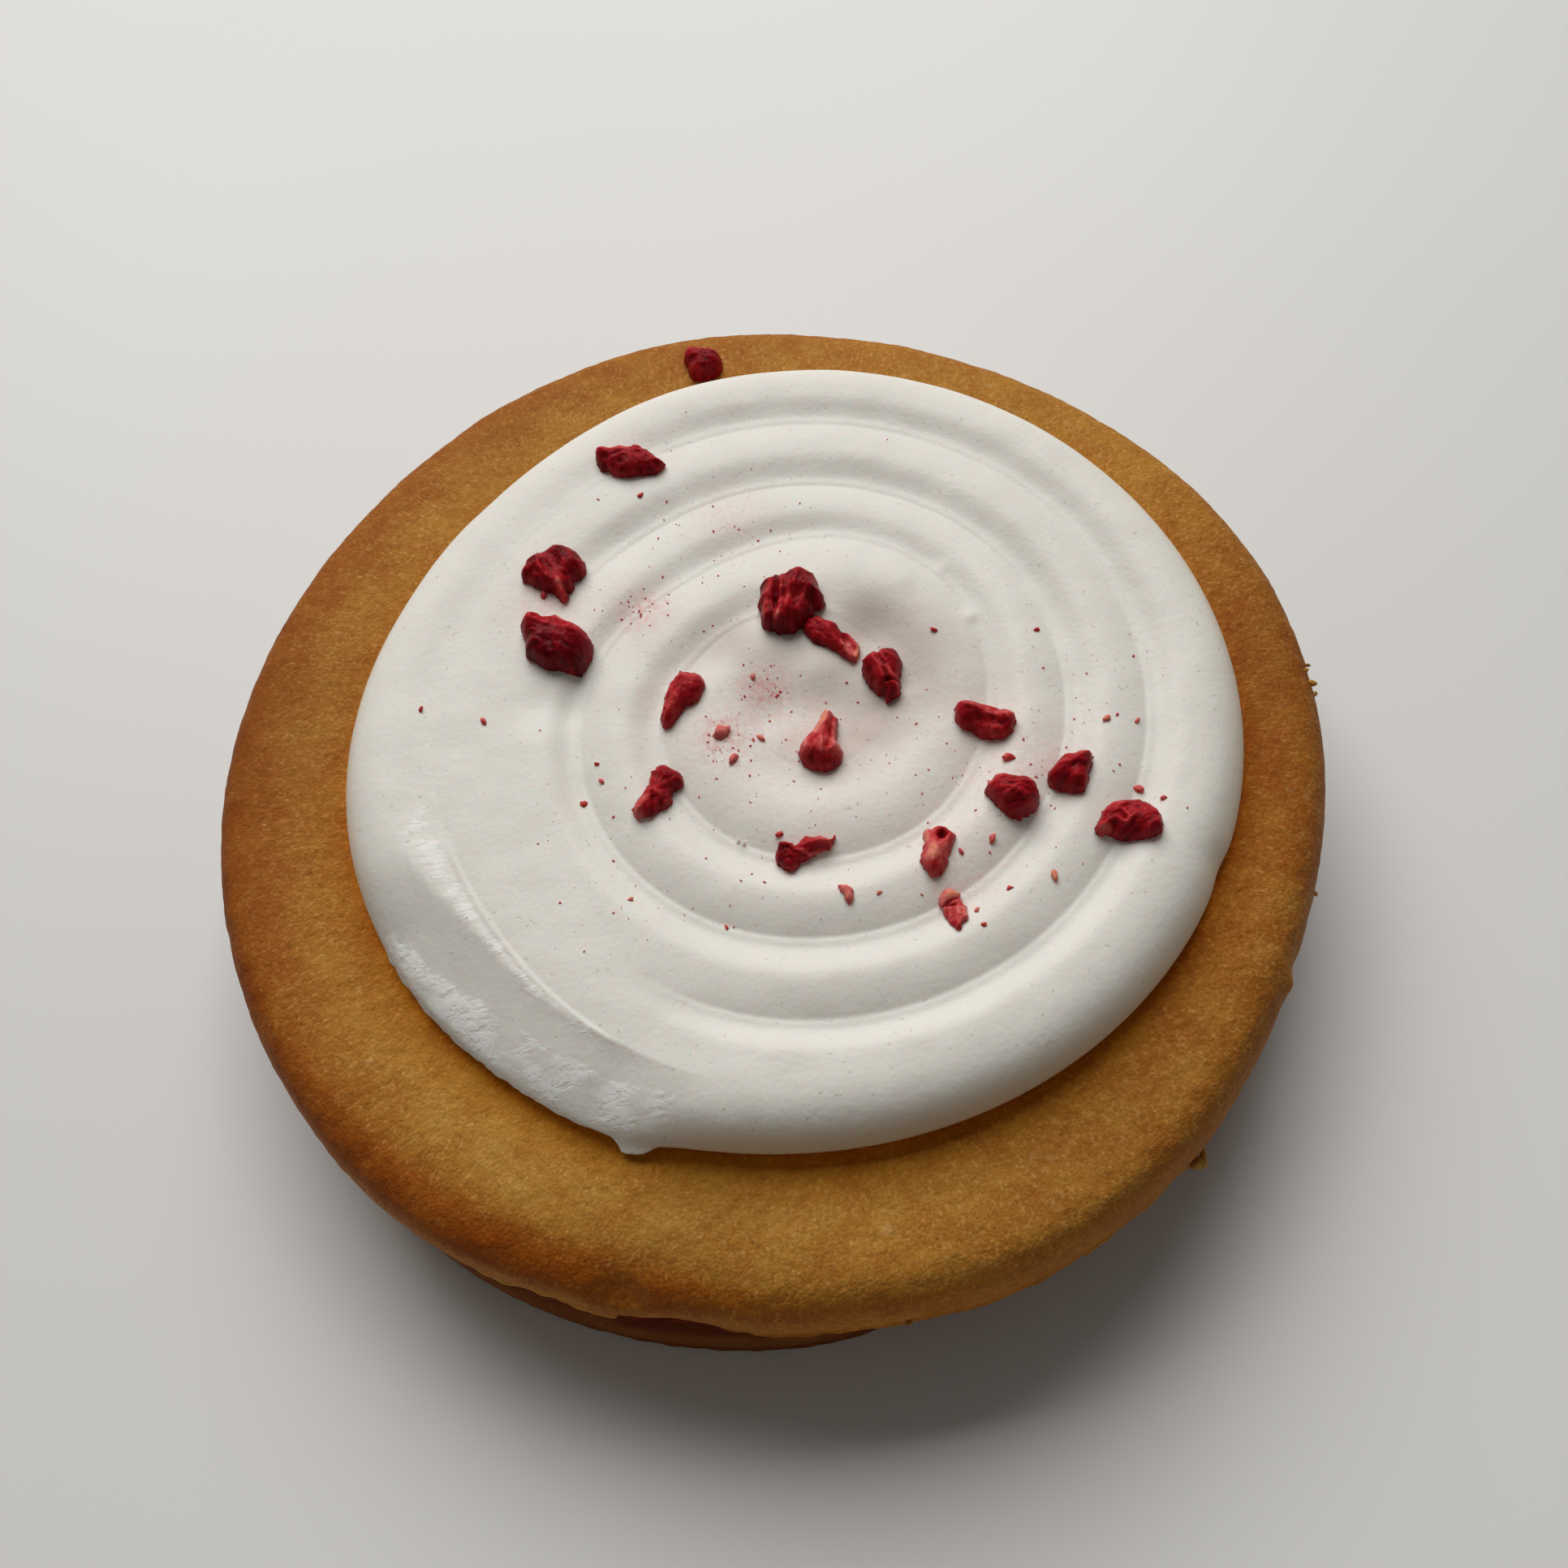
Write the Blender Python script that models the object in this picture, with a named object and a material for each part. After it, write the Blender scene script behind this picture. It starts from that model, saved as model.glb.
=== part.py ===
"""Empire biscuit: two shortbread rounds held together by jam, iced with a piped spiral, topped with raspberry.

Metres, +Z up. The biscuit rests on the plane z = 0, and the origin is under the middle of its bounding box.
The spiral of icing starts near the middle and runs outwards, anticlockwise as seen from above.
"""

import math

import bmesh
import bpy
from mathutils import Matrix, Vector, noise

MM = 0.001

# Driving dimensions
ROUND_RADIUS = 40.1 * MM        # widest line of the top round
ROUND_THICKNESS = 6.4 * MM
LOWER_RADIUS = 38.8 * MM        # the lower round is cut a little smaller
LOWER_SHIFT = Vector((-1.8, -0.9, 0.0)) * MM
JAM_THICKNESS = 1.0 * MM
JAM_RADIUS = 37.6 * MM
TOUCH_GAP = 0.3 * MM            # space kept between pieces that touch

ICING_RADIUS = 31.35 * MM
ICING_CENTRE = Vector((2.2, 1.1, 0.0)) * MM
ICING_CREST = 3.8 * MM          # height of the piped rope's crest
ICING_UNDERCUT = 0.7 * MM       # how far the icing's foot draws in below its widest line
ICING_FOOT = 0.9 * MM           # height of the icing's widest line
SEAM_DEPTH = 1.1 * MM           # depth of the valley between two turns

# The spiral seam, measured from its own centre; turns are counted from the front, the -Y side
SWIRL_CENTRE = Vector((3.5, 0.4, 0.0)) * MM
SWIRL_START = 5.6 * MM
SWIRL_PITCH = 5.6 * MM
SWIRL_BEGIN = -0.2              # turns at which the seam starts, in the middle
SWIRL_END = 3.84                # turns made when the rope runs out

# Uneven outlines: (lobes, amplitude, direction of the first lobe in degrees)
ROUND_WAVES = ((4, 0.36 * MM, 16), (5, 0.21 * MM, 11), (6, 0.09 * MM, -9), (2, 0.06 * MM, -50))
LOWER_WAVES = ((3, 0.30 * MM, 20), (5, 0.20 * MM, 60), (7, 0.12 * MM, 5))
JAM_WAVES = ((3, 0.35 * MM, 265), (8, 0.25 * MM, 10), (13, 0.2 * MM, 4))
ICING_WAVES = ((3, 0.31 * MM, 82), (2, 0.30 * MM, 2), (4, 0.10 * MM, 10))

ROUND_SEGMENTS = 96
LOWER_SEGMENTS = 80
JAM_SEGMENTS = 72
SWIRL_SEGMENTS = 100
SWIRL_RINGS = 20
EDGE_RINGS = 4

# Raspberry pieces: (x, y, length, width, height, turn in degrees, taper), sizes in millimetres.
# Taper narrows the end that the turn points at: 0 is even, 1 comes to a point.
RASPBERRIES = (
    (0.3, 35.3, 3.4, 2.8, 2.2, 0, 0.2),
    (-6.4, 23.4, 5.5, 2.7, 1.9, -14, 0.3),
    (-12.9, 14.3, 4.5, 4.9, 2.2, -80, 0.5),
    (-13.3, 8.2, 5.0, 4.4, 2.8, -30, 0.1),
    (3.5, 8.4, 4.6, 4.5, 3.0, -20, 0.1),
    (6.9, 4.8, 4.5, 2.2, 1.6, -54, 0.3),
    (9.5, 1.4, 4.4, 2.9, 2.0, -82, 0.5),
    (-5.0, 2.1, 5.0, 2.8, 1.8, -120, 0.6),
    (4.3, -3.4, 5.4, 3.1, 2.2, 76, 0.6),
    (15.5, -3.7, 4.4, 2.6, 2.0, -25, 0.1),
    (-7.5, -5.2, 5.1, 2.6, 1.7, -128, 0.3),
    (16.2, -9.8, 3.6, 3.2, 2.2, 160, 0.4),
    (20.5, -8.8, 3.3, 3.1, 2.2, 50, 0.5),
    (23.4, -13.0, 4.6, 3.2, 2.0, 175, 0.4),
    (10.6, -12.7, 4.2, 2.4, 1.6, 78, 0.2),
    (10.9, -16.9, 3.3, 1.8, 1.2, -80, 0.3),
    (1.8, -11.1, 4.3, 2.2, 1.5, 12, 0.5),
    (4.1, -14.9, 1.7, 1.1, 0.9, -70, 0.3),
)
RASPBERRY_LUMP = 0.14           # depth of the wrinkles, as a share of the piece's size

COLOURS = {
    "shortbread": ((0.46, 0.21, 0.055), 0.85),
    "jam": ((0.16, 0.01, 0.008), 0.25),
    "icing": ((0.84, 0.82, 0.77), 0.6),
    "raspberry": ((0.24, 0.012, 0.02), 0.6),
}


def clear_scene():
    for old in list(bpy.data.objects):
        bpy.data.objects.remove(old, do_unlink=True)


def material(name):
    """One Principled material for each kind of food, shared by the objects made of it."""
    found = bpy.data.materials.get(name)
    if found:
        return found
    colour, roughness = COLOURS[name]
    made = bpy.data.materials.new(name)
    made.use_nodes = True
    shader = made.node_tree.nodes["Principled BSDF"]
    shader.inputs["Base Color"].default_value = (*colour, 1.0)
    shader.inputs["Roughness"].default_value = roughness
    shader.inputs["Metallic"].default_value = 0.0
    return made


def finish_object(name, bm, kind, location=(0.0, 0.0, 0.0), turn=0.0):
    """Turns a bmesh into a smooth-shaded object at its place."""
    bmesh.ops.recalc_face_normals(bm, faces=bm.faces[:])
    mesh = bpy.data.meshes.new(name)
    bm.to_mesh(mesh)
    bm.free()
    mesh.shade_smooth()
    mesh.materials.append(material(kind))
    made = bpy.data.objects.new(name, mesh)
    made.location = location
    made.rotation_euler = (0.0, 0.0, turn)
    bpy.context.scene.collection.objects.link(made)
    return made


def wave(waves, angle):
    """Sum of an outline's lobes at an angle in radians."""
    return sum(size * math.cos(lobes * (angle - math.radians(first))) for lobes, size, first in waves)


def turned_round(profile, segments, radius, waves):
    """Spins a profile of (radius, height) points about Z, then makes its outline uneven."""
    bm = bmesh.new()
    points = [bm.verts.new((r, 0.0, z)) for r, z in profile]
    edges = [bm.edges.new(pair) for pair in zip(points, points[1:])]
    bmesh.ops.spin(
        bm,
        geom=points + edges,
        cent=(0.0, 0.0, 0.0),
        axis=(0.0, 0.0, 1.0),
        angle=math.tau,
        steps=segments,
        use_merge=True,
    )
    bmesh.ops.remove_doubles(bm, verts=bm.verts[:], dist=1e-6)
    for vert in bm.verts:
        reach = vert.co.xy.length / radius
        angle = math.atan2(vert.co.y, vert.co.x)
        vert.co.xy *= 1.0 + wave(waves, angle) / radius * reach
    return bm


def round_profile(radius, thickness):
    """Section of a baked round: a flat foot, a bulging side and a softly rounded upper edge."""
    edge = (
        (1.9, 0.0),
        (0.9, 0.07),
        (0.25, 0.22),
        (0.0, 0.45),
        (0.1, 0.63),
        (0.5, 0.79),
        (1.3, 0.92),
        (2.8, 0.985),
    )
    side = [(radius - inset * MM, share * thickness) for inset, share in edge]
    return [(0.0, 0.0)] + side + [(radius - 5.0 * MM, thickness), (0.0, thickness)]


def lower_round():
    bm = turned_round(round_profile(LOWER_RADIUS, ROUND_THICKNESS), LOWER_SEGMENTS, LOWER_RADIUS, LOWER_WAVES)
    return finish_object("bottom_biscuit", bm, "shortbread", LOWER_SHIFT)


def jam_layer(base):
    """The jam fills the space between the rounds and bulges a little at its edge."""
    profile = (
        (0.0, 0.0),
        (JAM_RADIUS - 0.4 * MM, 0.0),
        (JAM_RADIUS, JAM_THICKNESS / 2),
        (JAM_RADIUS - 0.4 * MM, JAM_THICKNESS),
        (0.0, JAM_THICKNESS),
    )
    bm = turned_round(profile, JAM_SEGMENTS, JAM_RADIUS, JAM_WAVES)
    return finish_object("jam_filling", bm, "jam", LOWER_SHIFT * 0.5 + Vector((0.0, 0.0, base)))


def upper_round(base):
    bm = turned_round(round_profile(ROUND_RADIUS, ROUND_THICKNESS), ROUND_SEGMENTS, ROUND_RADIUS, ROUND_WAVES)
    return finish_object("top_biscuit", bm, "shortbread", (0.0, 0.0, base))


def window(value, low, high, soft):
    """1 between low and high, easing to 0 over the distance soft outside them."""
    outside = max(low - value, value - high, 0.0) / soft
    return max(0.0, 1.0 - outside) ** 2 * (1.0 + 2.0 * min(outside, 1.0))


def seam_radius(turns):
    """Distance of the seam from the swirl's centre after a number of turns."""
    wobble = 0.8 * MM * math.exp(-((turns - 1.5) ** 2) / 0.16) * math.cos(3 * math.tau * (turns - 0.42))
    return SWIRL_START + SWIRL_PITCH * turns + wobble


def seam_depth(turns):
    """The seam's depth along the spiral: it fades where the turns have run together and at both ends."""
    fused = window(turns, 2.68, 2.86, 0.06)
    faint = 0.6 * window(turns, 0.22, 0.4, 0.1) + 0.4 * window(turns, 1.3, 1.42, 0.08)
    piped = window(turns, SWIRL_BEGIN, SWIRL_END, 0.12)
    return SEAM_DEPTH * (1.0 - fused) * (1.0 - faint) * piped


def icing_reach(angle):
    """Distance from the swirl's centre to the icing's outline, in the direction of an angle."""
    heading = Vector((math.cos(angle), math.sin(angle)))
    offset = (ICING_CENTRE - SWIRL_CENTRE).xy
    along = heading.dot(offset)
    across = offset.length_squared - along**2
    tail = 0.8 * MM * window(angle % math.tau, math.radians(243), math.radians(245), math.radians(3))
    return along + math.sqrt(ICING_RADIUS**2 - across) + wave(ICING_WAVES, angle) + tail


def icing_height(radius, angle):
    """Height of the icing over the top round, from the swirl's polar coordinates."""
    part_turn = ((angle + math.pi / 2) % math.tau) / math.tau
    dip = 0.0
    for turn in range(-1, 5):
        inner = seam_radius(part_turn + turn - 1)
        outer = seam_radius(part_turn + turn)
        if inner <= radius < outer:
            share = (radius - inner) / (outer - inner)
            dip = seam_depth(part_turn + turn - 1) * max(0.0, 1.0 - 2.0 * share) ** 2
            dip += seam_depth(part_turn + turn) * max(0.0, 2.0 * share - 1.0) ** 2
            break
    reach = icing_reach(angle)
    front = window(part_turn if part_turn < 0.5 else part_turn - 1.0, -0.16, 0.12, 0.12)
    shoulder = (3.0 + 2.2 * front) * MM
    inside = min(1.0, max(0.0, (reach - radius) / shoulder))
    rounding = math.sqrt(1.0 - (1.0 - inside) ** 2)
    return ICING_FOOT + (ICING_CREST - ICING_FOOT - dip) * rounding


def icing(base):
    """A disc of rings about the swirl's centre, lifted to the piped relief, with a foot drawn in below its edge."""
    bm = bmesh.new()
    middle = bm.verts.new(SWIRL_CENTRE + Vector((0.0, 0.0, icing_height(0.0, 0.0))))
    edge_start = 0.9
    shares = [edge_start * (ring + 1) / SWIRL_RINGS for ring in range(SWIRL_RINGS)]
    for ring in range(1, EDGE_RINGS + 1):
        shares.append(edge_start + (1.0 - edge_start) * math.sin(math.pi / 2 * ring / EDGE_RINGS))
    rings = []
    for share in shares:
        ring = []
        for step in range(SWIRL_SEGMENTS):
            angle = math.tau * step / SWIRL_SEGMENTS
            radius = share * icing_reach(angle)
            heading = Vector((math.cos(angle), math.sin(angle), 0.0))
            place = SWIRL_CENTRE + heading * radius
            place.z = icing_height(radius, angle)
            ring.append(bm.verts.new(place))
        rings.append(ring)
    foot = []
    for vert in rings[-1]:
        flat = Vector((vert.co.x, vert.co.y, 0.0))
        inward = (SWIRL_CENTRE - flat).normalized() * ICING_UNDERCUT
        foot.append(bm.verts.new(flat + inward))
    rings.append(foot)
    for inner, outer in zip(rings, rings[1:]):
        for step in range(SWIRL_SEGMENTS):
            after = (step + 1) % SWIRL_SEGMENTS
            bm.faces.new((inner[step], outer[step], outer[after], inner[after]))
    for step in range(SWIRL_SEGMENTS):
        bm.faces.new((middle, rings[0][step], rings[0][(step + 1) % SWIRL_SEGMENTS]))
    bm.faces.new(list(reversed(foot)))
    return finish_object("icing", bm, "icing", (0.0, 0.0, base))


def surface_height(x, y):
    """Height over the top round of whatever lies there: icing, or the bare biscuit."""
    offset = Vector((x, y)) - SWIRL_CENTRE.xy
    angle = math.atan2(offset.y, offset.x)
    if offset.length > icing_reach(angle) + TOUCH_GAP:
        return 0.0
    return TOUCH_GAP + icing_height(min(offset.length, icing_reach(angle)), angle)


def raspberry_piece(number, base, x, y, length, width, height, turn, taper):
    """A wrinkled lump, narrowed towards one end, lowered until it lies on what is under it."""
    bm = bmesh.new()
    bmesh.ops.create_icosphere(bm, subdivisions=2, radius=1.0)
    seed = Vector((number * 3.7, number * 1.3, 0.0))
    half = Vector((length, width, height)) * MM / 2
    for vert in bm.verts:
        lump = 1.0 + RASPBERRY_LUMP * noise.noise(vert.co * 1.6 + seed)
        narrow = 1.0 - taper * max(0.0, vert.co.x)
        across = vert.co.y * narrow
        upward = max(vert.co.z * narrow, -0.6)
        vert.co = Vector((vert.co.x * half.x, across * half.y, upward * half.z)) * lump
    place = Matrix.Translation((x * MM, y * MM, 0.0)) @ Matrix.Rotation(math.radians(turn), 4, "Z")
    lift = 0.0
    for vert in bm.verts:
        spot = place @ vert.co
        lift = max(lift, surface_height(spot.x, spot.y) + TOUCH_GAP - vert.co.z)
    name = f"raspberry_{number:02d}"
    return finish_object(name, bm, "raspberry", (x * MM, y * MM, base + lift), math.radians(turn))


def centre_on_origin(objects):
    """Shifts the whole biscuit so that the middle of its bounding box is over the origin."""
    bpy.context.view_layer.update()
    corners = [made.matrix_world @ vert.co for made in objects for vert in made.data.vertices]
    middle_x = (min(c.x for c in corners) + max(c.x for c in corners)) / 2
    middle_y = (min(c.y for c in corners) + max(c.y for c in corners)) / 2
    for made in objects:
        made.location -= Vector((middle_x, middle_y, 0.0))


def build():
    clear_scene()
    jam_base = ROUND_THICKNESS + TOUCH_GAP
    upper_base = jam_base + JAM_THICKNESS + TOUCH_GAP
    icing_base = upper_base + ROUND_THICKNESS + TOUCH_GAP
    pieces = [lower_round(), jam_layer(jam_base), upper_round(upper_base), icing(icing_base)]
    for number, numbers in enumerate(RASPBERRIES, start=1):
        pieces.append(raspberry_piece(number, upper_base + ROUND_THICKNESS, *numbers))
    centre_on_origin(pieces)


build()
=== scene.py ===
"""Looks of an empire biscuit: two rounds of shortbread, jam, a piped spiral of icing and raspberry pieces.

Metres, +Z up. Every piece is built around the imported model, whose boxes give the heights.
"""
import bisect
import functools
import math
import random

import bpy
from mathutils import Matrix, Vector, noise


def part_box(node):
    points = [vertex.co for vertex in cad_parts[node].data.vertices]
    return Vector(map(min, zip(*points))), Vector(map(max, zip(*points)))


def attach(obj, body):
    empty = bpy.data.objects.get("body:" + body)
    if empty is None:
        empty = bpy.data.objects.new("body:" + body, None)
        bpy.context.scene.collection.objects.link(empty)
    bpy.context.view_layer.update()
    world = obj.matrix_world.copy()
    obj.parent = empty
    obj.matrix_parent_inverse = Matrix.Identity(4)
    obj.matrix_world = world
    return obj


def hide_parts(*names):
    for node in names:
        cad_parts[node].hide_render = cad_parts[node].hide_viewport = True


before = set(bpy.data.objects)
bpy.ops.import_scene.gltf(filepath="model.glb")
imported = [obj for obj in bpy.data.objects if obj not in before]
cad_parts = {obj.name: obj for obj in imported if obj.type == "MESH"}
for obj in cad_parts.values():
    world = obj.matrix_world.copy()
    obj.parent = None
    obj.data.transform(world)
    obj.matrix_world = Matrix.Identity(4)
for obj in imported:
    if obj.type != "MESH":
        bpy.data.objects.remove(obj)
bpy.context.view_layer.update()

MM = 0.001
UP = Vector((0.0, 0.0, 1.0))

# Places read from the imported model
BASE_LOW, BASE_HIGH = (corner.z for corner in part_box("bottom_biscuit"))
ROUND_LOW, ROUND_HIGH = (corner.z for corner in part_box("top_biscuit"))
ICING_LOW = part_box("icing")[0].z

# The outlines, as they were baked and piped: everything is measured from the top round's own middle.
# Waves are an outline's lobes: how many, how high, and the direction of the first (degrees)
ROUND_CENTRE = Vector((-0.085, -0.093, 0.0)) * MM
ROUND_RADIUS = 40.35 * MM
ROUND_WAVES = ((4, 0.36 * MM, 16), (5, 0.21 * MM, 11), (6, 0.09 * MM, -9), (2, 0.06 * MM, -50))
LOWER_CENTRE = ROUND_CENTRE + Vector((-1.8, -0.6, 0.0)) * MM
LOWER_RADIUS = 38.8 * MM
LOWER_WAVES = ((3, 0.30 * MM, 20), (5, 0.20 * MM, 60), (7, 0.12 * MM, 5))
JAM_CENTRE = ROUND_CENTRE + Vector((-0.9, -0.45, 0.0)) * MM
JAM_RADIUS = 37.6 * MM
JAM_WAVES = ((3, 0.35 * MM, 265), (8, 0.25 * MM, 10), (13, 0.2 * MM, 4))

ICING_RADIUS = 31.35 * MM
ICING_CENTRE = Vector((2.2, 1.1, 0.0)) * MM
ICING_WAVES = ((3, 0.31 * MM, 82), (2, 0.30 * MM, 2), (4, 0.10 * MM, 10))
ICING_CREST = 3.8 * MM          # height of the piped rope's crest over the icing's foot
ICING_FOOT = 0.9 * MM           # height of the icing's widest line
ICING_UNDERCUT = 0.7 * MM
SEAM_DEPTH = 0.67 * MM
LEDGE = 0.10                    # share of a turn's width that lies level just outside the seam
SWIRL_CENTRE = Vector((3.5, 0.4, 0.0)) * MM
SWIRL_START = 5.6 * MM
SWIRL_PITCH = 5.6 * MM
SWIRL_END = 3.88                # turns, counted from the front, after which the seam ends

VIEW_TURN = math.radians(-9.4)  # the raspberry pieces are described as seen by someone at the front left
DOUBLES = 0.001 * MM            # corners closer than this are merged
CRUMB_DOUBLES = 0.0001 * MM


# ---------------------------------------------------------------- small tools

def deselect_all():
    for other in list(bpy.context.selected_objects):
        other.select_set(False)


def pick(piece):
    """Makes a piece the only selected one, and the active one."""
    deselect_all()
    piece.select_set(True)
    bpy.context.view_layer.objects.active = piece


def named(name):
    """The newest primitive, under its own name."""
    piece = bpy.context.object
    piece.name = name
    piece.data.name = name
    return piece


def drawn(name, corners):
    """Starts a piece as a line drawn from corner to corner, and leaves it in edit mode."""
    deselect_all()
    bpy.ops.mesh.primitive_plane_add(location=(0.0, 0.0, 0.0))
    piece = named(name)
    bpy.ops.object.mode_set(mode="EDIT")
    bpy.ops.mesh.merge(type="CENTER")
    bpy.ops.transform.translate(value=corners[0])
    for start, end in zip(corners, corners[1:]):
        step = tuple(there - here for here, there in zip(start, end))
        bpy.ops.mesh.extrude_region_move(TRANSFORM_OT_translate={"value": step})
    return piece


def finish_with(piece, kind, **settings):
    """Adds a modifier with its settings and applies it."""
    pick(piece)
    added = piece.modifiers.new(kind.lower(), kind)
    for setting, value in settings.items():
        setattr(added, setting, value)
    bpy.ops.object.modifier_apply(modifier=added.name)


def close_up(piece, distance):
    """Merges doubles and turns every face outwards."""
    pick(piece)
    bpy.ops.object.mode_set(mode="EDIT")
    bpy.ops.mesh.select_all(action="SELECT")
    bpy.ops.mesh.remove_doubles(threshold=distance)
    bpy.ops.mesh.normals_make_consistent(inside=False)
    bpy.ops.object.mode_set(mode="OBJECT")
    bpy.ops.object.shade_smooth()


def paint(piece, name, values):
    """Stores one value for each vertex, for the piece's material to read."""
    layer = piece.data.attributes.new(name, "FLOAT", "POINT")
    layer.data.foreach_set("value", values)


def paint_by_place(piece, **rules):
    """Stores for each vertex the value that each named rule gives for its place."""
    for name, rule in rules.items():
        paint(piece, name, [rule(vert.co) for vert in piece.data.vertices])


def serve(piece, material, body_slot, *nodes):
    """Hands a finished piece to the frame, in place of the plain nodes."""
    piece.data.materials.clear()
    piece.data.materials.append(material)
    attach(piece, "root")
    if nodes:
        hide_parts(*nodes)
    return piece


def ground_below(bed, x, y):
    """The place on the bed's surface under a point, or None."""
    hit, ground, _, _ = bed.ray_cast((x, y, 2.0 * ROUND_HIGH), -UP)
    return ground if hit else None


def ease(outside):
    """1 up to 0, falling smoothly to 0 at 1."""
    outside = max(outside, 0.0)
    return max(0.0, 1.0 - outside) ** 2 * (1.0 + 2.0 * min(outside, 1.0))


def window(value, low, high, soft):
    """1 between low and high, easing to 0 over the distance soft outside them."""
    return ease(max(low - value, value - high) / soft)


def above(value, limit, soft):
    return ease((limit - value) / soft)


def below(value, limit, soft):
    return ease((value - limit) / soft)


def bell(distance, width):
    return math.exp(-((distance / width) ** 2))


def limited(value, most=1.0):
    return max(0.0, min(most, value))


def wave(waves, angle):
    """Sum of an outline's lobes at an angle in radians."""
    return sum(size * math.cos(lobes * (angle - math.radians(first))) for lobes, size, first in waves)


def grain(spot, size, seed=0.0):
    """Smooth noise from -1 to 1, with lumps of about the given size."""
    return noise.noise(spot / size + Vector((seed, 2.0 * seed, 0.0)))


def uneven(spot, layers, seed=0.0):
    """Sum of layers of lumps, each given as its height, breadth (mm) and own seed."""
    return sum(height * MM * grain(spot, breadth * MM, seed + own) for height, breadth, own in layers)


def follow(track, place):
    """Smooth value, at a place, of a track of measured (place, value) stations."""
    after = bisect.bisect_right(track, (place, math.inf))
    if after == 0 or after == len(track):
        return track[max(0, after - 1)][1]
    (left, start), (right, end) = track[after - 1], track[after]
    before, beyond = track[max(0, after - 2)], track[min(len(track) - 1, after + 1)]
    rise_in = (end - before[1]) / (right - before[0]) * (right - left)
    rise_out = (beyond[1] - start) / (beyond[0] - left) * (right - left)
    t = (place - left) / (right - left)
    bend_in, bend_out = t * (1.0 - t) ** 2, t * t * (t - 1.0)
    return start + (end - start) * t * t * (3.0 - 2.0 * t) + rise_in * bend_in + rise_out * bend_out


def polar(offset):
    """Level distance and direction (radians) of an offset."""
    return offset.xy.length, math.atan2(offset.y, offset.x)


def ray(angle):
    """Level unit vector in a direction."""
    return Vector((math.cos(angle), math.sin(angle), 0.0))


def frontness(angle):
    """1 at the front, 0 at the back."""
    return 0.5 - 0.5 * math.sin(angle)


def angle_between(angle, middle_degrees):
    """Signed difference of two directions, in degrees."""
    return (math.degrees(angle) - middle_degrees + 180.0) % 360.0 - 180.0


# ---------------------------------------------------------------- shortbread

# Section of a round's rim and side: distance in from the outline, distance down from the top (mm)
RIM_SECTION = (
    (6.8, 0), (4.6, 0.03), (3.2, 0.12), (2.3, 0.3), (1.6, 0.62), (1.05, 1.08), (0.62, 1.65), (0.3, 2.4),
    (0.1, 3.25), (0, 4.2), (0.06, 4.9), (0.16, 5.5), (0.18, 5.85), (0.07, 6.12), (0.02, 6.28),
)
HIDDEN_SHARES = (0.0, 0.25, 0.5, 0.75)
UNDERSIDE_SHARES = (0.85, 0.6, 0.3, 0.0)
UPPER_HIDDEN = 27.0 * MM        # inside this radius the crust never shows
LOWER_HIDDEN = 34.0 * MM
UPPER_STEPS = 900               # corners around each round
LOWER_STEPS = 760
UPPER_SEED = 3.0
LOWER_SEED = 11.0
LOWER_DARKER = 0.2              # how much browner the lower round is painted, as painted shade under the top round
LOWER_WORN = 0.7                # how much of its ragged foot is worn off
FOOT_CORNER = 0.1 * MM          # how far in the sharp foot stands
FOOT_WIDTH = 1.7 * MM           # how far in the underside is finely divided
CRUST_STEP = 0.25 * MM          # spacing of the visible crust's corners
FOOT_STEP = 0.2 * MM

# Lumps of the crust and of its ragged foot: height, breadth (mm), seed added to the round's own
CRUST_LUMPS = ((0.10, 7.0, 0.0), (0.05, 1.7, 0.0), (0.05, 0.75, 0.0))
RAGGED_LUMPS = ((0.26, 1.5, 4.0), (0.12, 0.6, 5.0))
RAGGED_DROP = 0.12 * MM         # how deep the ragged foot hangs at most
RAGGED_PUSH = 0.16              # how far it strays in and out (mm)
MARK_REACH = 2.2 * MM           # how far a mark runs in over the top
NOTCH_FADE = 1.3

# Marks: direction, distance and height, half width and height, push inwards, lift (degrees and mm)
UPPER_MARKS = (
    (-111.1, 39.4, 5.2, 2.1, 1.2, 0.5, -0.35), (-66, 40.1, 3, 9, 8, 0.35, 0), (-87, 40.1, 1, 7, 6, 0.4, 0),
    (-105.5, 40.1, 0, 3.4, 4, 0.85, 0.15), (-119, 40.1, 0, 2.5, 3, 0.3, 0.1),
    (-123, 38.6, 6.4, 15, 2.5, 0.1, -0.5), (-62, 39.4, 5.4, 12, 1.6, -0.1, 0.35),
    (-141.5, 40.1, 0.2, 0.8, 0.6, 0.35, 0.3), (-36.2, 40.1, 4, 0.7, 1.1, -0.35, 0),
    (-33, 40.1, 3.4, 0.9, 1.6, 0.25, 0), (-47, 40.1, 2.6, 1.6, 1.4, 0.3, 0),
)
LOWER_MARKS = (
    (-60, 38.8, 0.1, 1.6, 0.6, 0.3, 0.35), (-72, 38.8, 3, 9, 8, 1.8, 0), (-98, 38.8, 3, 7, 8, 0.5, 0),
    (-124, 38.8, 3, 6, 8, -0.35, 0), (75, 38.8, 0.1, 1.2, 0.6, 0.25, 0.3),
    (150, 38.8, 5.4, 2.2, 1.1, 0.4, -0.2),
)
# Notches in the foot: direction, how far the notch runs on, push inwards, lift (degrees and mm)
UPPER_NOTCHES = ((-112.1, 5.5, 0.55, 0.40),)

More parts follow.
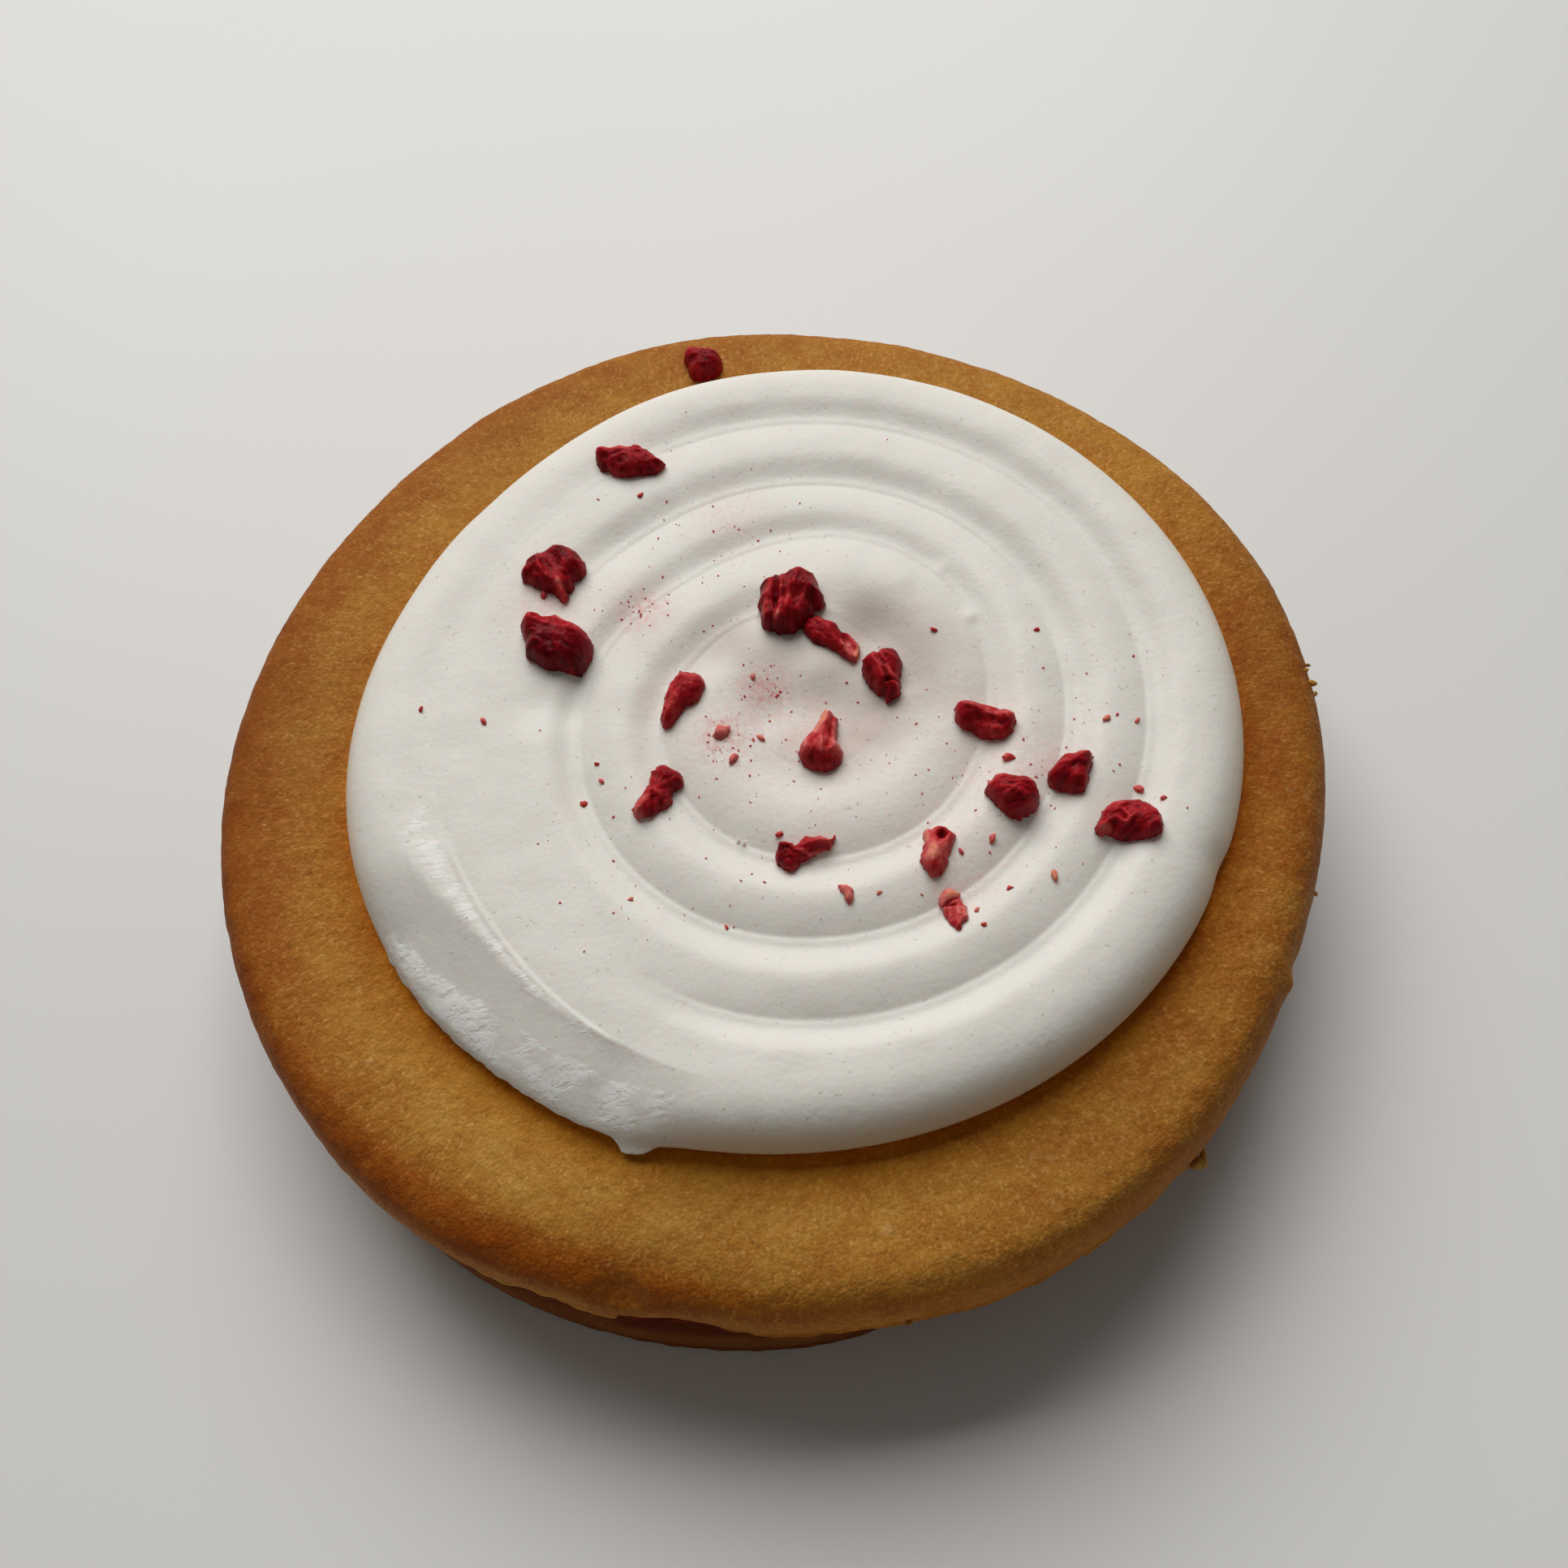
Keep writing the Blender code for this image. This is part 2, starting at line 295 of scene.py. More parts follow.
# How brown the crust is by direction (degrees)
BROWN_TRACK = (
    (-180, 0.6), (-150, 0.42), (-130, 0.25), (-105, 0.28), (-90, 0.28), (-55, 0.4), (-35, 0.48), (0, 0.6),
    (28, 0.32), (50, 0.3), (90, 0.42), (135, 0.46), (180, 0.6),
)
BROWNEST = 172.0                # direction in which the crust is brownest
INNER_PALENESS = 0.12           # how much paler it is there beyond the rim
BROWNEST_LEVEL = 1.15
# How much browner its rim and side are
RIM_TRACK = (
    (-180, 0.28), (-150, 0.46), (-136, 0.62), (-122, 0.62), (-110, 0.48), (-98, 0.3), (-83, 0.2), (-72, 0.17),
    (-60, 0.12), (-45, 0.12), (-30, 0.04), (0, 0.08), (45, 0.22), (120, 0.26), (180, 0.28),
)
# How far that browner rim reaches in over the top (mm)
RIM_REACH = (
    (-180, 1.6), (-150, 2.6), (-140, 3), (-126, 3.1), (-116, 3.2), (-111, 3.3), (-106, 2.9), (-98, 2.1),
    (-90, 1.5), (-83, 1.1), (-75, 0.8), (-60, 0.6), (0, 0.6), (45, 1.2), (120, 1.5), (180, 1.6),
)
LOW_SIDE = 0.38                 # share of that brown which the lower side takes
# How much paler its foot is painted: a painted highlight along the thin lip
FOOT_TRACK = ((-180, 0.45), (-116, 0.55), (-110, 0), (-80, 0), (-55, 0.25), (-30, 0.35), (180, 0.45))
# How much painted shade darkens it, by direction (degrees)
DULL_TRACK = (
    (-180, 0.03), (-165, 0), (-140, 0), (-120, 0.05), (-105, 0.16), (-90, 0.04), (-75, 0.1), (-60, 0.14),
    (-47, 0.12), (-33, 0.03), (-15, 0.05), (0, 0.14), (30, 0), (45, 0.03), (70, 0), (105, 0.03), (120, 0.05),
    (135, 0), (150, 0.03), (165, 0.1), (180, 0.03),
)
SIDE_GLOW = 0.55                # how strong the painted glow on the front of its side is
GLOW_MIDDLE = -88.0             # direction of the middle of that painted glow, and its half width (degrees)
GLOW_WIDTH = 52.0
# Where jam has run out, and where painted shade darkens the front of the lower round under the top one: from,
# to, fade (degrees)
JAM_RUN_SPAN = (-110.5, -70.0, 4.0)
JAM_STAIN_SPAN = (-128.0, -62.0, 12.0)


def smooth_run(points, spacing):
    """Points about a spacing apart on a smooth curve through the given (radius, height) points."""
    found = [points[0]]
    for index in range(len(points) - 1):
        before = points[max(0, index - 1)]
        start, end = points[index], points[index + 1]
        after = points[min(len(points) - 1, index + 2)]
        steps = max(1, round(math.dist(start, end) / spacing))
        for step in range(1, steps + 1):
            t = step / steps
            found.append(tuple(
                0.5 * (2 * b + (c - a) * t + (2 * a - 5 * b + 4 * c - d) * t**2
                       + (3 * b - a - 3 * c + d) * t**3)
                for a, b, c, d in zip(before, start, end, after)
            ))
    return found


def baked_section(radius, thickness, inner):
    """Section of a round from its middle, over the soft rim and down to the sharp foot, as (radius, height).

    Inside the radius inner, where nothing shows, the points are far apart.
    """
    hidden = [(inner * share, thickness) for share in HIDDEN_SHARES]
    rim = [(radius - inset * MM, thickness - drop * MM) for inset, drop in RIM_SECTION]
    visible = [(inner, thickness)] + [point for point in rim if point[0] > inner]
    foot = [rim[-1], (radius - FOOT_CORNER, 0.0), (radius - FOOT_WIDTH, 0.0)]
    underside = [(radius * share, 0.0) for share in UNDERSIDE_SHARES]
    return hidden + smooth_run(visible, CRUST_STEP) + smooth_run(foot, FOOT_STEP)[1:] + underside


def spun(name, section, steps, centre, base):
    """Draws a section point by point and turns it round the upright axis into a closed solid."""
    piece = drawn(name, [(radius, 0.0, height) for radius, height in section])
    bpy.ops.object.mode_set(mode="OBJECT")
    finish_with(
        piece, "SCREW", angle=math.tau, steps=steps, render_steps=steps, use_merge_vertices=True,
        merge_threshold=DOUBLES,
    )
    piece.data.transform(Matrix.Translation(centre + UP * base))
    close_up(piece, DOUBLES)
    return piece


def bake(piece, centre, radius, waves, base, thickness, seed, marks, notches=(), darker=0.0, worn=0.0):
    """Makes a turned round uneven: outline, crumbly grain, ragged foot, marks. Paints how brown it is."""
    piece.data.update()
    normals = [vert.normal.copy() for vert in piece.data.vertices]
    brown = []
    for vert, normal in zip(piece.data.vertices, normals):
        spot = vert.co.copy()
        flat = spot - centre
        height = flat.z - base
        flat.z = 0.0
        distance, angle = polar(flat)
        reach = distance / radius
        outward = flat.normalized()
        edge = above(reach, 0.7, 0.1)
        foot = above(reach, 0.965, 0.02) * below(height, 0.25 * MM, 1.1 * MM)
        move = outward * wave(waves, angle) * reach
        move += normal * edge * uneven(spot, CRUST_LUMPS, seed)
        ragged = UP * max(uneven(spot, RAGGED_LUMPS, seed), -RAGGED_DROP)
        ragged += outward * RAGGED_PUSH * MM * grain(spot, 1.1 * MM, seed + 6.0)
        move += foot * ragged * (1.0 - worn)
        for direction, mark_distance, mark_height, width, tall, push, lift in marks:
            aside = math.radians(angle_between(angle, direction)) * radius
            near = bell(aside, width * MM) * bell(distance - mark_distance * MM, MARK_REACH)
            near *= bell(height - mark_height * MM, tall * MM)
            move += near * (UP * lift * MM - outward * push * MM)
        for direction, width, push, lift in notches:
            along = math.radians(angle_between(angle, direction)) * radius
            if 0.0 <= along < width * MM:
                fade = (1.0 - along / (width * MM)) ** NOTCH_FADE
                low = above(reach, 0.93, 0.02) * below(height, 1.4 * MM, 1.8 * MM)
                move += UP * foot * fade * lift * MM - outward * low * fade * push * MM
        vert.co = spot + move
        brown.append(browning(angle, distance, radius, height, thickness) + darker)
    paint(piece, "brown", brown)
    piece.data.update()


def browning(angle, distance, radius, height, thickness):
    """How brown the crust is: 0 is the palest gold, 1 the dark rim."""
    from_edge = radius - distance
    degrees = math.degrees(angle)
    left = 0.5 + 0.5 * math.cos(math.radians(degrees - BROWNEST))
    level = follow(BROWN_TRACK, degrees) - INNER_PALENESS * left * above(from_edge, 7.0 * MM, 3.0 * MM)
    rim = below(from_edge, 0.6 * MM, (3.2 + 3.1 * left) * MM) * (0.03 + 0.23 * left)
    wall = wall_share(angle, from_edge, height, thickness)
    side = LOW_SIDE + (1.0 - LOW_SIDE) * above(height, thickness - 1.4 * MM, 1.5 * MM)
    level += max(rim, wall * side * follow(RIM_TRACK, degrees))
    # painted highlight along the thin foot
    foot = below(height, 0.2 * MM, 0.35 * MM)
    return limited(level - follow(FOOT_TRACK, degrees) * foot * wall, BROWNEST_LEVEL)


def wall_share(angle, from_edge, height, thickness):
    """1 on the side and the rim of a round, 0 on its top."""
    reach = follow(RIM_REACH, math.degrees(angle)) * MM
    return below(height, thickness - 0.05 * MM, 0.05 * MM) * below(from_edge, 0.55 * reach, 0.9 * reach)


def on_swirl(spot):
    """Distance and direction of a place from the middle of the swirl of icing."""
    return polar(spot - ROUND_CENTRE - SWIRL_CENTRE)


def dampness(spot):
    """How much the painted shadow of the icing darkens and warms the crust: along the front of the icing."""
    distance, angle = on_swirl(spot)
    return below(distance - shoulder_reach(angle), 0.5 * MM, 3.4 * MM) * frontness(angle)


def warm_glow(spot):
    """How much painted glow lightens the crust: in a thin line at the icing's foot, and down the front side.
    """
    distance, angle = on_swirl(spot)
    foot = below(distance - shoulder_reach(angle), 0.2 * MM, 0.9 * MM) * frontness(angle)
    distance, angle = polar(spot - ROUND_CENTRE)
    wall = wall_share(angle, ROUND_RADIUS - distance, spot.z - ROUND_LOW, ROUND_HIGH - ROUND_LOW)
    return max(foot, SIDE_GLOW * wall * bell(angle_between(angle, GLOW_MIDDLE), GLOW_WIDTH))


# Painted shade: the crust darkened by direction
def dullness(spot):
    return follow(DULL_TRACK, math.degrees(polar(spot - ROUND_CENTRE)[1]))


def jam_stain(spot):
    """How far jam stain and painted shade darken the lower round: along its upper rim, most of all where the
    jam ran out, and over its whole front under the top round.
    """
    degrees = math.degrees(polar(spot - LOWER_CENTRE)[1])
    front = window(degrees, *JAM_RUN_SPAN)
    upper = above(spot.z, BASE_HIGH - (0.9 + 0.7 * front) * MM, 1.6 * MM)
    return max(0.50 * window(degrees, *JAM_STAIN_SPAN), upper * (0.4 + 0.6 * front))


def top_round():
    thickness = ROUND_HIGH - ROUND_LOW
    section = baked_section(ROUND_RADIUS, thickness, UPPER_HIDDEN)
    piece = spun("shortbread_top", section, UPPER_STEPS, ROUND_CENTRE, ROUND_LOW)
    bake(
        piece, ROUND_CENTRE, ROUND_RADIUS, ROUND_WAVES, ROUND_LOW, thickness, UPPER_SEED, UPPER_MARKS,
        UPPER_NOTCHES,
    )
    # painted shadow of the icing, painted glow and painted shade on the crust
    paint_by_place(piece, damp=dampness, glow=warm_glow, dull=dullness)
    return serve(piece, shortbread(), "shortbread", "top_biscuit")


def bottom_round():
    thickness = BASE_HIGH - BASE_LOW
    section = baked_section(LOWER_RADIUS, thickness, LOWER_HIDDEN)
    piece = spun("shortbread_base", section, LOWER_STEPS, LOWER_CENTRE, BASE_LOW)
    bake(
        piece, LOWER_CENTRE, LOWER_RADIUS, LOWER_WAVES, BASE_LOW, thickness, LOWER_SEED, LOWER_MARKS,
        darker=LOWER_DARKER, worn=LOWER_WORN,
    )
    for vert in piece.data.vertices:
        vert.co.z = max(vert.co.z, BASE_LOW)
    # jam stain with painted shade
    paint_by_place(piece, stain=jam_stain)
    return serve(piece, shortbread(), "shortbread", "bottom_biscuit")


# ---------------------------------------------------------------- jam

JAM_OVERLAP = 0.15 * MM         # how far the jam sinks into both rounds
JAM_BULGE = 0.9 * MM            # how far its edge is rounded
JAM_OOZE = 0.7 * MM             # how far it has run out at the front
JAM_LUMPS = ((0.45, 2.6, 8.0),)
JAM_STEPS = 480
OOZE_MIDDLE = -107.0            # direction of that place (degrees), and from, to, fade beside it
OOZE_SPAN = (-4.0, 14.0, 6.0)


def jam():
    """The jam fills the gap between the rounds and squeezes out unevenly."""
    low, high = BASE_HIGH - JAM_OVERLAP, ROUND_LOW + JAM_OVERLAP
    tall = high - low
    edge = [
        (JAM_RADIUS - JAM_BULGE * (1.0 - math.cos(turn)), tall * (0.5 + 0.5 * math.sin(turn)))
        for turn in (math.radians(90 - 15 * step) for step in range(13))
    ]
    section = [(0.0, tall), (JAM_RADIUS * 0.5, tall), (JAM_RADIUS * 0.9, tall)] + edge
    section += [(JAM_RADIUS * 0.9, 0.0), (JAM_RADIUS * 0.5, 0.0), (0.0, 0.0)]
    piece = spun("jam_layer", section, JAM_STEPS, JAM_CENTRE, low)
    for vert in piece.data.vertices:
        flat = vert.co - JAM_CENTRE
        flat.z = 0.0
        distance, angle = polar(flat)
        if distance < 0.5 * JAM_RADIUS:
            continue
        ooze = wave(JAM_WAVES, angle) + uneven(vert.co, JAM_LUMPS)
        ooze += JAM_OOZE * window(angle_between(angle, OOZE_MIDDLE), *OOZE_SPAN)
        vert.co += flat.normalized() * ooze * above(distance / JAM_RADIUS, 0.9, 0.3)
    piece.data.update()
    return serve(piece, jam_gloss(), "jam", "jam_filling")


# ---------------------------------------------------------------- icing

# How far the piped seam strays from an even spiral: turns counted from the front, offset (mm)
SEAM_TRACK = (
    (-0.25, -1.1), (-0.12, -0.7), (0, -0.6), (0.06, -0.7), (0.16, -0.75), (0.3, -0.3), (0.5, -0.6),
    (0.6, -0.7), (0.67, -0.5), (0.75, 0.1), (0.83, 0.3), (0.92, 0.5), (1.08, 0.5), (1.17, 0.2), (1.25, 0.35),
    (1.33, 0.9), (1.38, 0.95), (1.42, 0.85), (1.46, 0.55), (1.5, 0), (1.53, -0.4), (1.58, -0.75),
    (1.63, -0.5), (1.67, -0.1), (1.71, 0.35), (1.75, 0.5), (1.83, 0.65), (1.92, 0.7), (2, 0.6), (2.08, 0.5),
    (2.17, 0.2), (2.25, -0.05), (2.42, -0.2), (2.5, -0.4), (2.58, -0.9), (2.67, -0.8), (2.8, 0.2),
    (2.92, 0.6), (3, 0.5), (3.08, 0.3), (3.17, 0), (3.33, -0.2), (3.5, -0.25), (3.58, -0.6), (3.75, -0.5),
    (3.83, -1), (3.87, -0.8), (3.92, -0.4),
)
# Where the turns have run together, and where the seam is faint: from, to, fade (turns), how faint
FUSED = (2.68, 2.88, 0.09)
FAINT_SEAM = (
    (0.24, 0.4, 0.14, 0.7), (1.3, 1.42, 0.08, 0.35), (-0.4, 0.08, 0.06, 0.6), (3.62, 4, 0.12, 0.8),
    (0.12, 0.22, 0.05, 0.45),
)
# How far the icing's outline strays from its even waves: direction (degrees), offset (mm)
OUTLINE_TRACK = (
    (0, 0.15), (30, 0.15), (50, 0.1), (60, 0.05), (75, -0.1), (90, -0.3), (105, -0.4), (120, -0.7),
    (132, -0.75), (139, -0.6), (150, -0.55), (165, -0.2), (180, 0), (200, 0.1), (210, 0.3), (225, 0.5),
    (235, 0.85), (241, 0.95), (244, 0.8), (247, 0.6), (255, 0.5), (270, 0.45), (300, 0.3), (315, 0.2),
    (323, 0.1), (327, -0.1), (331, 0.1), (345, 0.15), (360, 0.15),
)
# Soft hollows and bumps in the icing: x, y, half width, lift (mm)
ICING_SPOTS = (
    (6.6, 0.4, 5.2, -1.15), (4.9, 2.9, 2, 0.55), (0.8, 0, 1.8, -0.35), (-2.6, 5.2, 1.6, -0.25),
    (9, 5.6, 2.2, -0.5), (8.4, -0.8, 1.8, -0.25), (-14, 4, 2.6, -0.35), (12.2, 9.2, 0.8, 0.09),
    (15.2, 9.8, 0.6, 0.09), (16.3, 5.3, 0.55, 0.14),
)
ICING_LUMPS = ((0.16, 9.0, 21.0), (0.05, 2.6, 22.0))  # height, breadth (mm), seed
ICING_SETTLED = 0.12 * MM       # how much lower the whole surface has set
SHOULDER = 3.4                  # width of the rounded edge (mm), how much more of it lies at the front, and
SHOULDER_FRONT = 1.1            # how much less at the tail
SHOULDER_TAIL = 0.6
ROUNDNESS = 2.8
FRONT_SPAN = (-0.10, 0.12, 0.07)  # from, to, fade (turns)
BACK_SAG = 0.35 * MM            # how far the ridges at the back have sagged, and where
BACK_SAG_RADIUS = 16.5 * MM
BACK_SAG_WIDTH = 5.5 * MM
BACK_SHALLOW = 0.35             # how much shallower the seams are there
SEAM_LIP = 0.05
# How wide the icing stays level outside the fold of its tail: direction (degrees), width (mm)
TAIL_LEDGE = ((192, 3), (198, 2.3), (204, 1.5), (210, 1), (216, 0.75), (228, 0.4), (236, 0))
# How wide its torn outer edge is: direction (degrees), width (mm)
TORN_TRACK = ((200.0, 0.6), (208.0, 1.4), (215.0, 2.0), (230.0, 2.4), (243.0, 2.3))
# Parts of the tail: from, to, fade (degrees)
TAIL_SPAN = (204.0, 235.0, 18.0)
CREASE_SPAN = (198.0, 231.0, 6.0)
BARE_SPAN = (198.0, 214.0, 13.0)
TORN_LEDGE_SPAN = (190.0, 231.0, 6.0)
TORN_EDGE_SPAN = (204.0, 242.0, 6.0)
RAGGED_SPAN = (203.0, 242.0, 4.0)
LIP_SPAN = (240.6, 242.2, 2.2)
TAIL_WIDTH = 5.4 * MM           # how far it takes the tail to fall away

BANDS = 6                       # turns of rope from the middle to the outline
BAND_CELLS = 22
TURN_CELLS = 640
CROWDING = 0.5                  # how much closer the cells lie at the seams than between them, 0 to 1
ROLL = 3.0 * MM                 # width of the outline's finely divided edge
LAST_RUN = 0.93                 # part of its turn after which the last seam runs out to the outline
FOOT_RINGS = 5

# Pink smears of raspberry dust: x, y, half width (mm), strength
DUST_SMEARS = (
    (1.1, 2.1, 1.6, 0.9), (-2.4, -1.2, 1.7, 1), (-6.9, 10.6, 1.9, 0.8), (0.5, 17.3, 2.6, 0.35),
    (17, -7, 4, 0.3), (12, -14, 3, 0.3), (-14, 12.5, 2.5, 0.4), (3, -3, 9, 0.18),
)
# Where juice stains the icing and painted shade greys it, in the hollow at its middle and below the pieces:
# x, y, half width (mm), strength
SOAKED = (
    (9.3, 6.6, 3, 0.9), (12.6, 3.6, 3.4, 0.8), (12.2, 0, 2.4, 0.5), (8.2, -1.4, 2.6, 1), (4, 4.2, 3, 0.6),
    (0.8, 3.2, 2.2, 0.6), (5.2, -3.6, 2.6, 0.6), (2, -2.6, 1.8, 0.4), (-0.9, 6.9, 2.1, 0.9),
    (-3.8, 5.4, 1.5, 0.4), (-6.8, 8.4, 2.2, 0.3),
)

remembered = functools.lru_cache(maxsize=20000)


def turned(angle):
    """Part of a turn from the front, 0 to 1."""
    return ((angle + math.pi / 2) % math.tau) / math.tau


def compass(angle):
    """Direction in degrees, 0 to 360."""
    return math.degrees(angle) % 360.0


@remembered
def seam_radius(turns):
    """Distance of the seam from the swirl's centre after a number of turns."""
    return SWIRL_START + SWIRL_PITCH * turns + follow(SEAM_TRACK, turns) * MM


@remembered
def seam_depth(turns):
    """The seam's depth along the spiral: it fades where the turns have run together and at both ends."""
    faint = sum(share * window(turns, start, end, fade) for start, end, fade, share in FAINT_SEAM)
    piped = window(turns, -0.05, SWIRL_END, 0.2 if turns < 1.0 else 0.05)
    return SEAM_DEPTH * (1.0 - window(turns, *FUSED)) * (1.0 - min(1.0, faint)) * piped


@remembered
def shoulder_reach(angle):
    """Distance from the swirl's centre to the widest line of the icing's rounded edge."""
    offset = (ICING_CENTRE - SWIRL_CENTRE).xy
    along = ray(angle).xy.dot(offset)
    across = offset.length_squared - along**2
    stray = follow(OUTLINE_TRACK, compass(angle)) * MM
    return along + math.sqrt(ICING_RADIUS**2 - across) + wave(ICING_WAVES, angle) + stray


@remembered
def icing_reach(angle):
    """The same distance with the ragged lip that the end of the piping leaves along the front left."""
    degrees = compass(angle)
    place = ray(angle) * ICING_RADIUS
    teeth = 0.13 * grain(place, 1.3 * MM, 41.0) + 0.09 * grain(place, 0.6 * MM, 42.0)
    ragged = (0.04 + teeth) * window(degrees, *RAGGED_SPAN)
    lip = (0.66 + 1.8 * teeth) * window(degrees, *LIP_SPAN)
    return shoulder_reach(angle) + max(0.0, ragged + lip) * MM


def icing_height(radius, angle):
    """Height of the icing's surface over its foot, from the swirl's polar coordinates."""
    part_turn = turned(angle)
    dip = 0.0
    lip = 0.0
    for turn in range(-1, 5):
        inner = seam_radius(part_turn + turn - 1)
        outer = seam_radius(part_turn + turn)
        if inner <= radius < outer:
            share = (radius - inner) / (outer - inner)
            depth_in, depth_out = seam_depth(part_turn + turn - 1), seam_depth(part_turn + turn)
            dip = depth_in * below(share, LEDGE, 0.5 - LEDGE)
            dip += depth_out * max(0.0, 2.0 * share - 1.0) ** 2
            lip = SEAM_LIP * depth_in * bell(radius - inner - 0.35 * MM, 0.25 * MM)
            break
    tail, fold = tail_end(radius, angle)
    front = window(part_turn if part_turn < 0.5 else part_turn - 1.0, *FRONT_SPAN)
    shoulder = (SHOULDER + SHOULDER_FRONT * front - SHOULDER_TAIL * tail) * MM
    inside = shoulder_reach(angle) - radius
    outer = 1.0 - limited(inside / shoulder)
    rounding = 0.4 * math.sqrt(1.0 - outer**2) + 0.6 * (1.0 - outer ** (ROUNDNESS + 0.8 * front))
    behind = max(0.0, math.sin(angle))
    back = behind * bell(radius - BACK_SAG_RADIUS, BACK_SAG_WIDTH)
    body = ICING_CREST - ICING_FOOT - dip * (1.0 - BACK_SHALLOW * behind) + lip
    body += icing_swell(radius, angle) + fold - BACK_SAG * back
    return ICING_FOOT + body * rounding + min(0.0, 0.9 * inside)


def tail_end(radius, angle):
    """Where the end of the piping thins out at the front left: its share, and its height beside the rest.

    Outside a thin raised fold and a narrow ledge the icing falls away as a smooth hollow band, then levels
    out to a rough edge.
    """
    degrees = compass(angle)
    tail = window(degrees, *TAIL_SPAN)
    if tail <= 0.0:
        return 0.0, 0.0
    outside = outside_fold(radius, angle)
    crease = 0.09 * window(degrees, *CREASE_SPAN) * bell(outside - 0.12 * MM, 0.16 * MM)
    ledge = follow(TAIL_LEDGE, degrees) * MM
    fall = limited((outside - ledge) / (TAIL_WIDTH - 0.7 * ledge))
    band = (1.75 - 0.35 * ledge / MM) * tail * (1.0 - (1.0 - fall) ** 1.5)
    place = ray(angle) * radius
    flakes = max(0.0, grain(place, 0.9 * MM, 43.0)) + 0.5 * max(0.0, grain(place, 0.45 * MM, 44.0))
    return tail, (crease - band + 0.07 * rough_edge(radius, angle) * flakes) * MM


def outside_fold(radius, angle):
    """Distance outside the last turn's seam, which ends as the fold of the tail."""
    return radius - seam_radius(3.0 + turned(angle))


def bare_skin(radius, angle):
    """How much painted shade greys the icing, 0 to 1: in the smooth hollow band of its tail."""
    degrees = compass(angle)
    band = above(outside_fold(radius, angle), follow(TAIL_LEDGE, degrees) * MM + 0.35 * MM, 0.5 * MM)
    return band * window(degrees, *BARE_SPAN) * (1.0 - 0.6 * rough_edge(radius, angle))


def rough_edge(radius, angle):
    """How torn the icing's skin is, 0 to 1: on the ledge outside its tail's fold and along its edge."""
    degrees = compass(angle)
    ledge = follow(TAIL_LEDGE, degrees) * MM
    upper = window(degrees, *TORN_LEDGE_SPAN)
    upper *= bell(outside_fold(radius, angle) - 0.4 * MM - 0.4 * ledge, 0.3 * MM + 0.35 * ledge)
    spread = follow(TORN_TRACK, degrees) * MM
    lower = window(degrees, *TORN_EDGE_SPAN)
    lower *= window(shoulder_reach(angle) - radius, 0.45 * MM, 0.45 * MM + spread, 0.5 * MM)
    return min(1.0, upper + lower)


def icing_swell(radius, angle):
    """Slow unevenness of the piping, with the hollow and the bump at its middle."""
    spot = ray(angle) * radius + SWIRL_CENTRE
    swell = uneven(spot, ICING_LUMPS)
    for x, y, width, lift in ICING_SPOTS:
        swell += lift * MM * bell(math.dist(spot.xy, (x * MM, y * MM)), width * MM)
    return swell - ICING_SETTLED


def seam_stations(part_turn):
    """Radii of the lines that the icing's cells follow at one part of a turn: middle, seams, outline."""
    reach = icing_reach(part_turn * math.tau - math.pi / 2)
    inner = [max(0.0, seam_radius(part_turn + turn)) for turn in range(-1, 4)]
    if part_turn == 0.0:
        inner[0] = 0.0
    inner[-1] += (reach - inner[-1]) * above(part_turn, 1.0, 1.0 - LAST_RUN)
    return [0.0] + inner + [reach]


def wound_radius(part_turn, across):
    """Radius at which a cell line lies, across being 0 at the middle and BANDS at the outline."""
    stations = seam_stations(part_turn)
    band = min(BANDS - 1, int(across))
    share = across - band
    share -= CROWDING * math.sin(math.tau * share) / math.tau
    radius = stations[band] + (stations[band + 1] - stations[band]) * share
    edge = stations[-1] - radius
    if edge < ROLL:
        edge = ROLL * (1.0 - math.cos(math.pi / 2 * edge / ROLL))
    return stations[-1] - edge


def icing():
    """A flat grid is wound into the piped spiral, so that its lines follow the seams, then closed below."""
    deselect_all()
    bpy.ops.mesh.primitive_grid_add(x_subdivisions=TURN_CELLS, y_subdivisions=BANDS * BAND_CELLS, size=1.0)
    piece = named("icing_swirl")
    for vert in piece.data.vertices:
        part_turn = limited(vert.co.x + 0.5)
        across = round(limited(vert.co.y + 0.5) * BANDS * BAND_CELLS) / BAND_CELLS
        angle = part_turn * math.tau - math.pi / 2
        radius = wound_radius(part_turn, across)
        place = SWIRL_CENTRE + ray(angle) * radius
        vert.co = ROUND_CENTRE + Vector((place.x, place.y, ICING_LOW + icing_height(radius, angle)))
    close_up(piece, 0.004 * MM)
    close_foot(piece)
    # juice stain with painted shade, painted shade in the tail's hollow band and painted warm bounce at the
    # front foot
    paint_by_place(
        piece,
        dust=lambda spot: patches(spot, DUST_SMEARS),
        soaked=lambda spot: patches(spot, SOAKED),
        rough=lambda spot: rough_edge(*on_swirl(spot)),
        bare=lambda spot: bare_skin(*on_swirl(spot)),
        warm=warm_foot,
    )
    return serve(piece, icing_sugar(), "icing", "icing")


def warm_foot(spot):
    """How much painted warm bounce from the crust, with painted shade, tints the icing: at its foot along the
    front.
    """
    distance, angle = on_swirl(spot)
    foot = below(shoulder_reach(angle) - distance, 0.1 * MM, 1.7 * MM)
    return foot * frontness(angle) * (1.0 - tail_end(distance, angle)[0])


